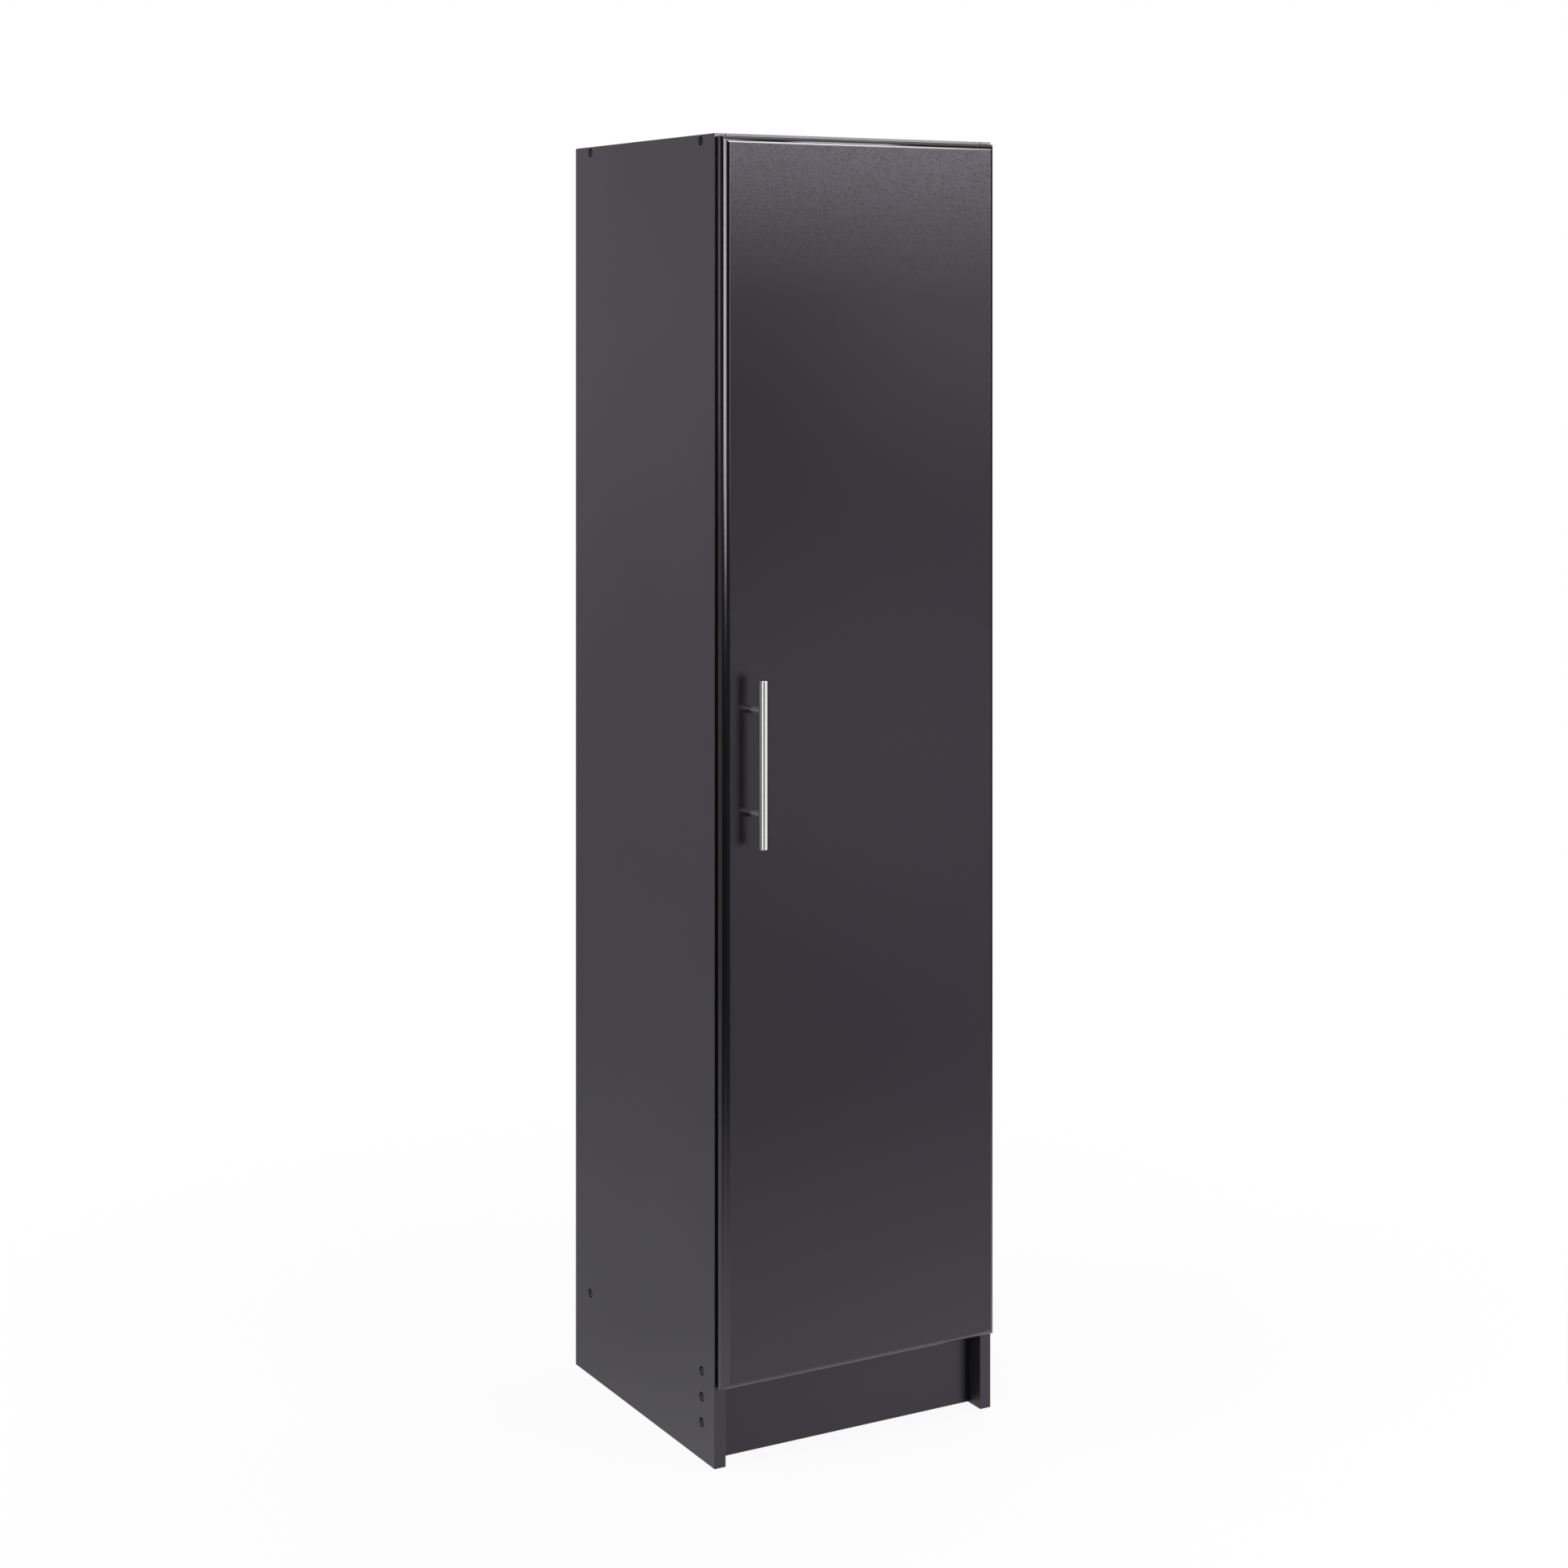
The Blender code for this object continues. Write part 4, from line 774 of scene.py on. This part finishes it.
pin = shelf_pin()
for shelf in LEVELS:
    for side, inward in (("left", 1), ("right", -1)):
        for line in ("front", "rear"):
            node = "_".join(("shelf_pin", shelf, side, line))
            low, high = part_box(node)
            plug_end = low.x if inward > 0 else high.x
            place = (plug_end + inward * PIN_PLUG, (low.y + high.y) / 2, (low.z + high.z) / 2)
            finished(node + "_turned", placed(pin, place, (inward, 0, 0)), pin_steel,
                     "cabinet", "screw_zinc", node)
print("shelf pins:", 4 * len(LEVELS))

# %% Bumpers
PAD_COLOUR, PAD_TONES = (0.80, 0.80, 0.78), ((0.72, 0.72, 0.70), (0.84, 0.84, 0.82))
PAD_CLEARNESS, PAD_IOR, PAD_ROUGHNESS, PAD_CLOUDS_PER_METRE = 0.55, 1.45, (0.25, 0.38), 500.0
PAD_ROUND, PAD_WALL, PAD_SEGMENTS = 0.7, 0.3, 40


def clear_pad(name):
    """Soft clear plastic, faintly cloudy."""
    material, tree, shader = new_finish(name, PAD_COLOUR, 0.30)
    shader.inputs["Transmission Weight"].default_value = PAD_CLEARNESS
    shader.inputs["IOR"].default_value = PAD_IOR
    coords = add_node(tree, "ShaderNodeTexCoord")
    cloud = noise(tree, coords, PAD_CLOUDS_PER_METRE)
    tone = ramp(tree, cloud, list(zip((NOISE_LOW, NOISE_HIGH), PAD_TONES)))
    wire(tree, *tone, shader, "Base Color")
    wire(tree, *spread(tree, cloud, *PAD_ROUGHNESS), shader, "Roughness")
    return material


pad_finish = clear_pad("clear_pad")
for label in ("upper", "lower"):
    node = "door_bumper_" + label
    low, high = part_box(node)
    radius, height = (high.x - low.x) / 2, high.y - low.y
    dome = rounded((radius - height * PAD_ROUND, height * PAD_WALL), height * PAD_ROUND, 90, 0, 8)
    pad = to_mesh(lathe([(0.0, height), *dome, (radius, 0.0), (0.0, 0.0)], PAD_SEGMENTS), "pad")
    place = ((low.x + high.x) / 2, low.y, (low.z + high.z) / 2)
    finished(node + "_domed", placed(pad, place, (0, 1, 0)), pad_finish, "door", "bumper_pad", node)
    print(node, "is", round(height * 1000, 1), "mm high")

# %% Back nails
NAIL_HEAD_RADIUS, NAIL_HEAD, NAIL_RADIUS, NAIL_LENGTH = 0.0024, 0.0008, 0.0007, 0.012
NAILS_A_ROW, NAIL_SEGMENTS = 4, 16
NAIL_FROM_END = 0.030
NAIL_DOME = ((0.5, 0.9), (0.85, 0.55))
back_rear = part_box("back_panel")[1].y


def nail_mesh():
    dome = [(NAIL_HEAD_RADIUS * out, NAIL_HEAD * up) for out, up in NAIL_DOME]
    profile = [(0.0, NAIL_HEAD), *dome, (NAIL_HEAD_RADIUS, 0.0), (NAIL_RADIUS, 0.0),
               (NAIL_RADIUS, -NAIL_LENGTH + NAIL_RADIUS * 2), (0.0, -NAIL_LENGTH)]
    return to_mesh(lathe(profile, NAIL_SEGMENTS), "nail")


nail = nail_mesh()
inner_left, inner_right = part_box("bottom_panel")[0].x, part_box("bottom_panel")[1].x
run = inner_right - inner_left - 2 * NAIL_FROM_END
for row, board in (("bottom", "bottom_panel"), ("middle", "fixed_shelf"), ("top", "top_panel")):
    for number in range(NAILS_A_ROW):
        x = inner_left + NAIL_FROM_END + run * number / (NAILS_A_ROW - 1)
        place = (x, back_rear, middle_of(board).z)
        finished("back_nail_%s_%d" % (row, number + 1), placed(nail, place, (0, 1, 0)),
                 zinc, "cabinet", "screw_zinc")
print("nails:", 3 * NAILS_A_ROW)

# %% [markdown]
# Hinges
#
# Plates, cranked arms and cups are pressed from nickel-plated steel, and every pressed edge is a
# little round. Their solids already have the right outline, so each is copied, its triangles are
# joined into whole faces again, and a Bevel modifier rounds whatever turns sharply.

# %% Hinges
HINGE_COLOUR = (0.58, 0.57, 0.55)
PRESSED_EDGE = 0.00022
ROUNDED_ABOVE_DEG, SAME_FACE_DEG, SAME_POINT = 50, 1.0, 0.00001
hinge_steel = turned_metal("hinge_steel", HINGE_COLOUR, 0.30, NO_AXIS, 0.03)


def pressed_copy(node):
    bm = bmesh.new()
    bm.from_mesh(nodes[node].data)
    bmesh.ops.remove_doubles(bm, verts=bm.verts, dist=SAME_POINT)
    bmesh.ops.dissolve_limit(bm, angle_limit=math.radians(SAME_FACE_DEG),
                             verts=bm.verts, edges=bm.edges)
    return to_mesh(bm, node)


for part in ("hinge_plate", "hinge_arm", "hinge_cup"):
    for label in LEVELS:
        node = part + "_" + label
        body = "door" if part == "hinge_cup" else "cabinet"
        made = finished(node + "_pressed", pressed_copy(node), hinge_steel, body,
                        "hinge_steel", node)
        edge = made.modifiers.new("pressed_edge", "BEVEL")
        edge.width = PRESSED_EDGE
        edge.segments = 2
        edge.limit_method = "ANGLE"
        edge.angle_limit = math.radians(ROUNDED_ABOVE_DEG)
        made.modifiers.move(1, 0)  # the rounding comes before the even shading
dress(hinge_steel, *("hinge_pin_" + label for label in LEVELS))

# %% [markdown]
# Dowels
#
# The fixed shelf is glued to the sides on beech dowels. They can't be seen, but every piece gets
# its finish: straight grain is a noise squeezed across the dowel and left long along it.

# %% Dowels
BEECH_COLOUR, BEECH_TONES = (0.52, 0.34, 0.18), ((0.44, 0.27, 0.13), (0.58, 0.39, 0.22))
GRAIN_PER_METRE, ALONG_DOWEL, BEECH_ROUGHNESS = 40.0, (1.0, 22.0, 22.0), (0.55, 0.75)
BEECH_STRENGTH, BEECH_HEIGHT = 0.2, 0.0002


def beech(name):
    material, tree, shader = new_finish(name, BEECH_COLOUR, 0.65)
    coords = add_node(tree, "ShaderNodeTexCoord")
    grain = noise(tree, coords, GRAIN_PER_METRE, 5.0, ALONG_DOWEL)
    tone = ramp(tree, grain, list(zip((NOISE_LOW, NOISE_HIGH), BEECH_TONES)))
    join_up(tree, shader, tone, spread(tree, grain, *BEECH_ROUGHNESS), grain,
            BEECH_STRENGTH, BEECH_HEIGHT)
    return material


dress(beech("beech"), "shelf_dowel_left_front", "shelf_dowel_left_rear",
      "shelf_dowel_right_front", "shelf_dowel_right_rear")

# %% [markdown]
# Floor and background
#
# The background is plain white. More light would wash the dark boards out, so the white is given
# only to what the camera or a reflection sees of it, while the boards are lit by the lamps. The
# floor is a wide disc. Close to the cabinet a little of it stays an ordinary pale surface, which
# takes the shadow, and further out it turns into the same even white as the background, so no edge
# shows. Mirrored in the boards, the floor in front gets dark further out, as in a studio where only
# the paper round the object is lit.

# %% Floor
FLOOR_RADIUS, FLOOR_SEGMENTS = 30.0, 128
FLOOR_DROP = 0.0002
SHADOW_SHARE, SHADOW_FADES = 0.07, (0.5, 1.6)
MIRRORED_FRONT, FRONT_PAPER_ENDS = (0.95, 0.05), (0.45, 1.9)
MIRRORED_REAR, REAR_PAPER_ENDS = (0.60, 0.30), (0.8, 2.6)
FRONT_TO_REAR = (-0.3, 0.3)
PAPER, PAPER_BOUNCE = 0.86, 0.15
WHITE = (1.0, 1.0, 1.0, 1.0)


def floor_finish():
    material = bpy.data.materials.new("pale_floor")
    material.use_nodes = True
    tree = material.node_tree
    tree.nodes.clear()
    rays = add_node(tree, "ShaderNodeLightPath")
    coords = add_node(tree, "ShaderNodeTexCoord")
    length = add_node(tree, "ShaderNodeVectorMath", operation="LENGTH")
    wire(tree, coords, "Object", length, 0)
    distance = (length, "Value")
    split = add_node(tree, "ShaderNodeSeparateXYZ")
    wire(tree, coords, "Object", split, 0)
    behind = spread(tree, (split, "Y"), 0.0, 1.0, *FRONT_TO_REAR)
    mirrored = blend_values(tree, behind,
                            spread(tree, distance, *MIRRORED_FRONT, *FRONT_PAPER_ENDS),
                            spread(tree, distance, *MIRRORED_REAR, *REAR_PAPER_ENDS))
    seen = combine(tree, "MAXIMUM", (rays, "Is Camera Ray"), mirrored)
    mirror_rays = combine(tree, "MAXIMUM", (rays, "Is Glossy Ray"), (rays, "Is Transmission Ray"))
    share = spread(tree, distance, 1.0 - SHADOW_SHARE, 1.0, *SHADOW_FADES)
    to_camera = combine(tree, "MULTIPLY", share, (rays, "Is Camera Ray"))
    factor = combine(tree, "MAXIMUM", to_camera, mirror_rays)
    paper = add_node(tree, "ShaderNodeBsdfDiffuse")
    wire(tree, *blend_values(tree, (rays, "Is Diffuse Ray"), PAPER, PAPER_BOUNCE), paper, "Color")
    white = add_node(tree, "ShaderNodeEmission", {"Color": WHITE})
    wire(tree, *seen, white, "Strength")
    mixed = add_node(tree, "ShaderNodeMixShader")
    wire(tree, *factor, mixed, 0)
    wire(tree, paper, 0, mixed, 1)
    wire(tree, white, 0, mixed, 2)
    output = add_node(tree, "ShaderNodeOutputMaterial")
    wire(tree, mixed, 0, output, 0)
    return material


bm = bmesh.new()
bmesh.ops.create_circle(bm, cap_ends=True, segments=FLOOR_SEGMENTS, radius=FLOOR_RADIUS,
                        matrix=Matrix.Translation((0, 0, -FLOOR_DROP)))
floor = bpy.data.objects.new("floor", to_mesh(bm, "floor"))
floor.data.materials.append(floor_finish())
bpy.context.scene.collection.objects.link(floor)
floor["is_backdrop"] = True
print("floor:", FLOOR_RADIUS, "m from its middle to its edge")

# %% [markdown]
# World
#
# A studio is white behind the object, pale above it and dark around the camera, and that is what
# gives dark glossy boards their shape: a face seen at a slant mirrors the white paper behind it,
# and a face seen square mirrors the dark room. So the camera sees plain white everywhere, mirror
# rays see the studio by direction, and everything else gets a faint grey glow.

# %% World
ROOM_GLOW = 0.04
ROOM_BEHIND_CAMERA, CEILING, BACKDROP = 0.025, 0.55, 1.0
BACKDROP_SIDES, BACKDROP_TOP, CEILING_FROM = (0.40, 0.80), (0.05, 0.14), (0.45, 0.75)
BACKDROP_BELOW, BACKDROP_ABOVE = 1.0, 0.1


def studio_world():
    world = bpy.data.worlds.new("studio")
    world.use_nodes = True
    tree = world.node_tree
    tree.nodes.clear()
    coords = add_node(tree, "ShaderNodeTexCoord")
    split = add_node(tree, "ShaderNodeSeparateXYZ")
    wire(tree, coords, "Generated", split, 0)
    paper = spread(tree, (split, "Y"), ROOM_BEHIND_CAMERA, BACKDROP, *BACKDROP_SIDES)
    below_top = spread(tree, (split, "Z"), BACKDROP_BELOW, BACKDROP_ABOVE, *BACKDROP_TOP)
    ceiling = spread(tree, (split, "Z"), 0.0, CEILING, *CEILING_FROM)
    mirrored = combine(tree, "MAXIMUM", combine(tree, "MULTIPLY", paper, below_top), ceiling)
    rays = add_node(tree, "ShaderNodeLightPath")
    mirror_rays = combine(tree, "MAXIMUM", (rays, "Is Glossy Ray"), (rays, "Is Transmission Ray"))
    lit = blend_values(tree, mirror_rays, ROOM_GLOW, mirrored)
    strength = blend_values(tree, (rays, "Is Camera Ray"), lit, 1.0)
    background = add_node(tree, "ShaderNodeBackground", {"Color": WHITE})
    wire(tree, *strength, background, "Strength")
    output = add_node(tree, "ShaderNodeOutputWorld")
    wire(tree, background, 0, output, 0)
    return world


bpy.context.scene.world = studio_world()
print("world:", bpy.context.scene.world.name)

# %% [markdown]
# Lamps
#
# Large lamps give soft edges to the shadows. The main one stands low at the front right and throws
# the handle's shadow to its left and the right leg's shadow on the kick plate, and the side, right
# and overhead ones light the boards evenly. The others are there for what the foil and the metal
# mirror: a softbox high on the right, with a weak card under it, lights up the door's top, a wide
# one over the camera draws the bright line down the left moulding, and one behind and above catches
# the little step along the top. A lamp that only has to be mirrored is hidden from soft light, so
# it can be bright without washing the boards out. The two cards for the bar and the one for the
# carcass's front edges are linked to those pieces alone, since on the door they would draw patches
# that the photograph doesn't have.

# %% Lamps
BAR_AIM = (-0.16, -0.22, 0.90)
DOOR_TOP_AIM = (0, -0.2, 1.65)


def softbox(name, place, size, power, target=None, soft=True, mirrored=True, only=None):
    """An upright rectangular lamp that faces the cabinet, or its target; only = what it lights."""
    data = bpy.data.lights.new(name, "AREA")
    data.shape = "RECTANGLE"
    data.size, data.size_y = size
    data.energy = power
    lamp = bpy.data.objects.new(name, data)
    lamp.location = place
    towards = Vector(target) if target else Vector((0, 0, place[2]))
    lamp.rotation_euler = (Vector(place) - towards).to_track_quat("Z", "Y").to_euler()
    lamp.visible_camera = False
    lamp.visible_diffuse = soft
    lamp.visible_glossy = mirrored
    if only:
        lamp.light_linking.receiver_collection = only
    bpy.context.scene.collection.objects.link(lamp)


board_fronts = bpy.data.collections.new("board_fronts")
for node in ("top_panel", "left_side_panel", "right_side_panel"):
    board_fronts.objects.link(nodes[node])

softbox("main_lamp", (1.22, -2.60, 0.50), (1.10, 0.75), 70.0, mirrored=False)
softbox("high_softbox", (1.26, -2.75, 2.22), (1.8, 0.9), 31.0, soft=False)
softbox("pale_card", (1.95, -2.40, 1.55), (1.2, 0.8), 3.0, soft=False)
softbox("strip_card", (1.53, -2.76, 1.88), (1.4, 0.4), 32.0, soft=False, only=board_fronts)
softbox("left_softbox", (-1.52, -2.80, 1.73), (2.2, 1.45), 52.0, soft=False)
softbox("rear_softbox", (1.50, 1.05, 3.95), (1.2, 0.6), 10.0, DOOR_TOP_AIM)
softbox("side_lamp", (-2.90, 0.40, 1.75), (1.2, 2.0), 50.0, mirrored=False)
softbox("right_lamp", (2.90, 0.40, 1.60), (1.2, 2.2), 30.0, mirrored=False)
softbox("overhead_lamp", (0, 0, 4.20), (4.0, 4.0), 120.0, (0, 0, 0), mirrored=False)
softbox("bar_left_card", (-1.71, -1.48, 0.90), (1.30, 1.8), 10.0, BAR_AIM,
        soft=False, only=bar_pieces)
softbox("bar_right_card", (0.96, -1.88, 0.90), (3.12, 1.8), 20.0, BAR_AIM,
        soft=False, only=bar_pieces)
print("lamps:", len(bpy.data.lights))

# %% [markdown]
# Visual box
#
# The dressed cabinet has to fill the same box as its frame, so its box is printed.

# %% Visual box
low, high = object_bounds()
print("visual box", [round(v, 4) for v in (*low, *high)])
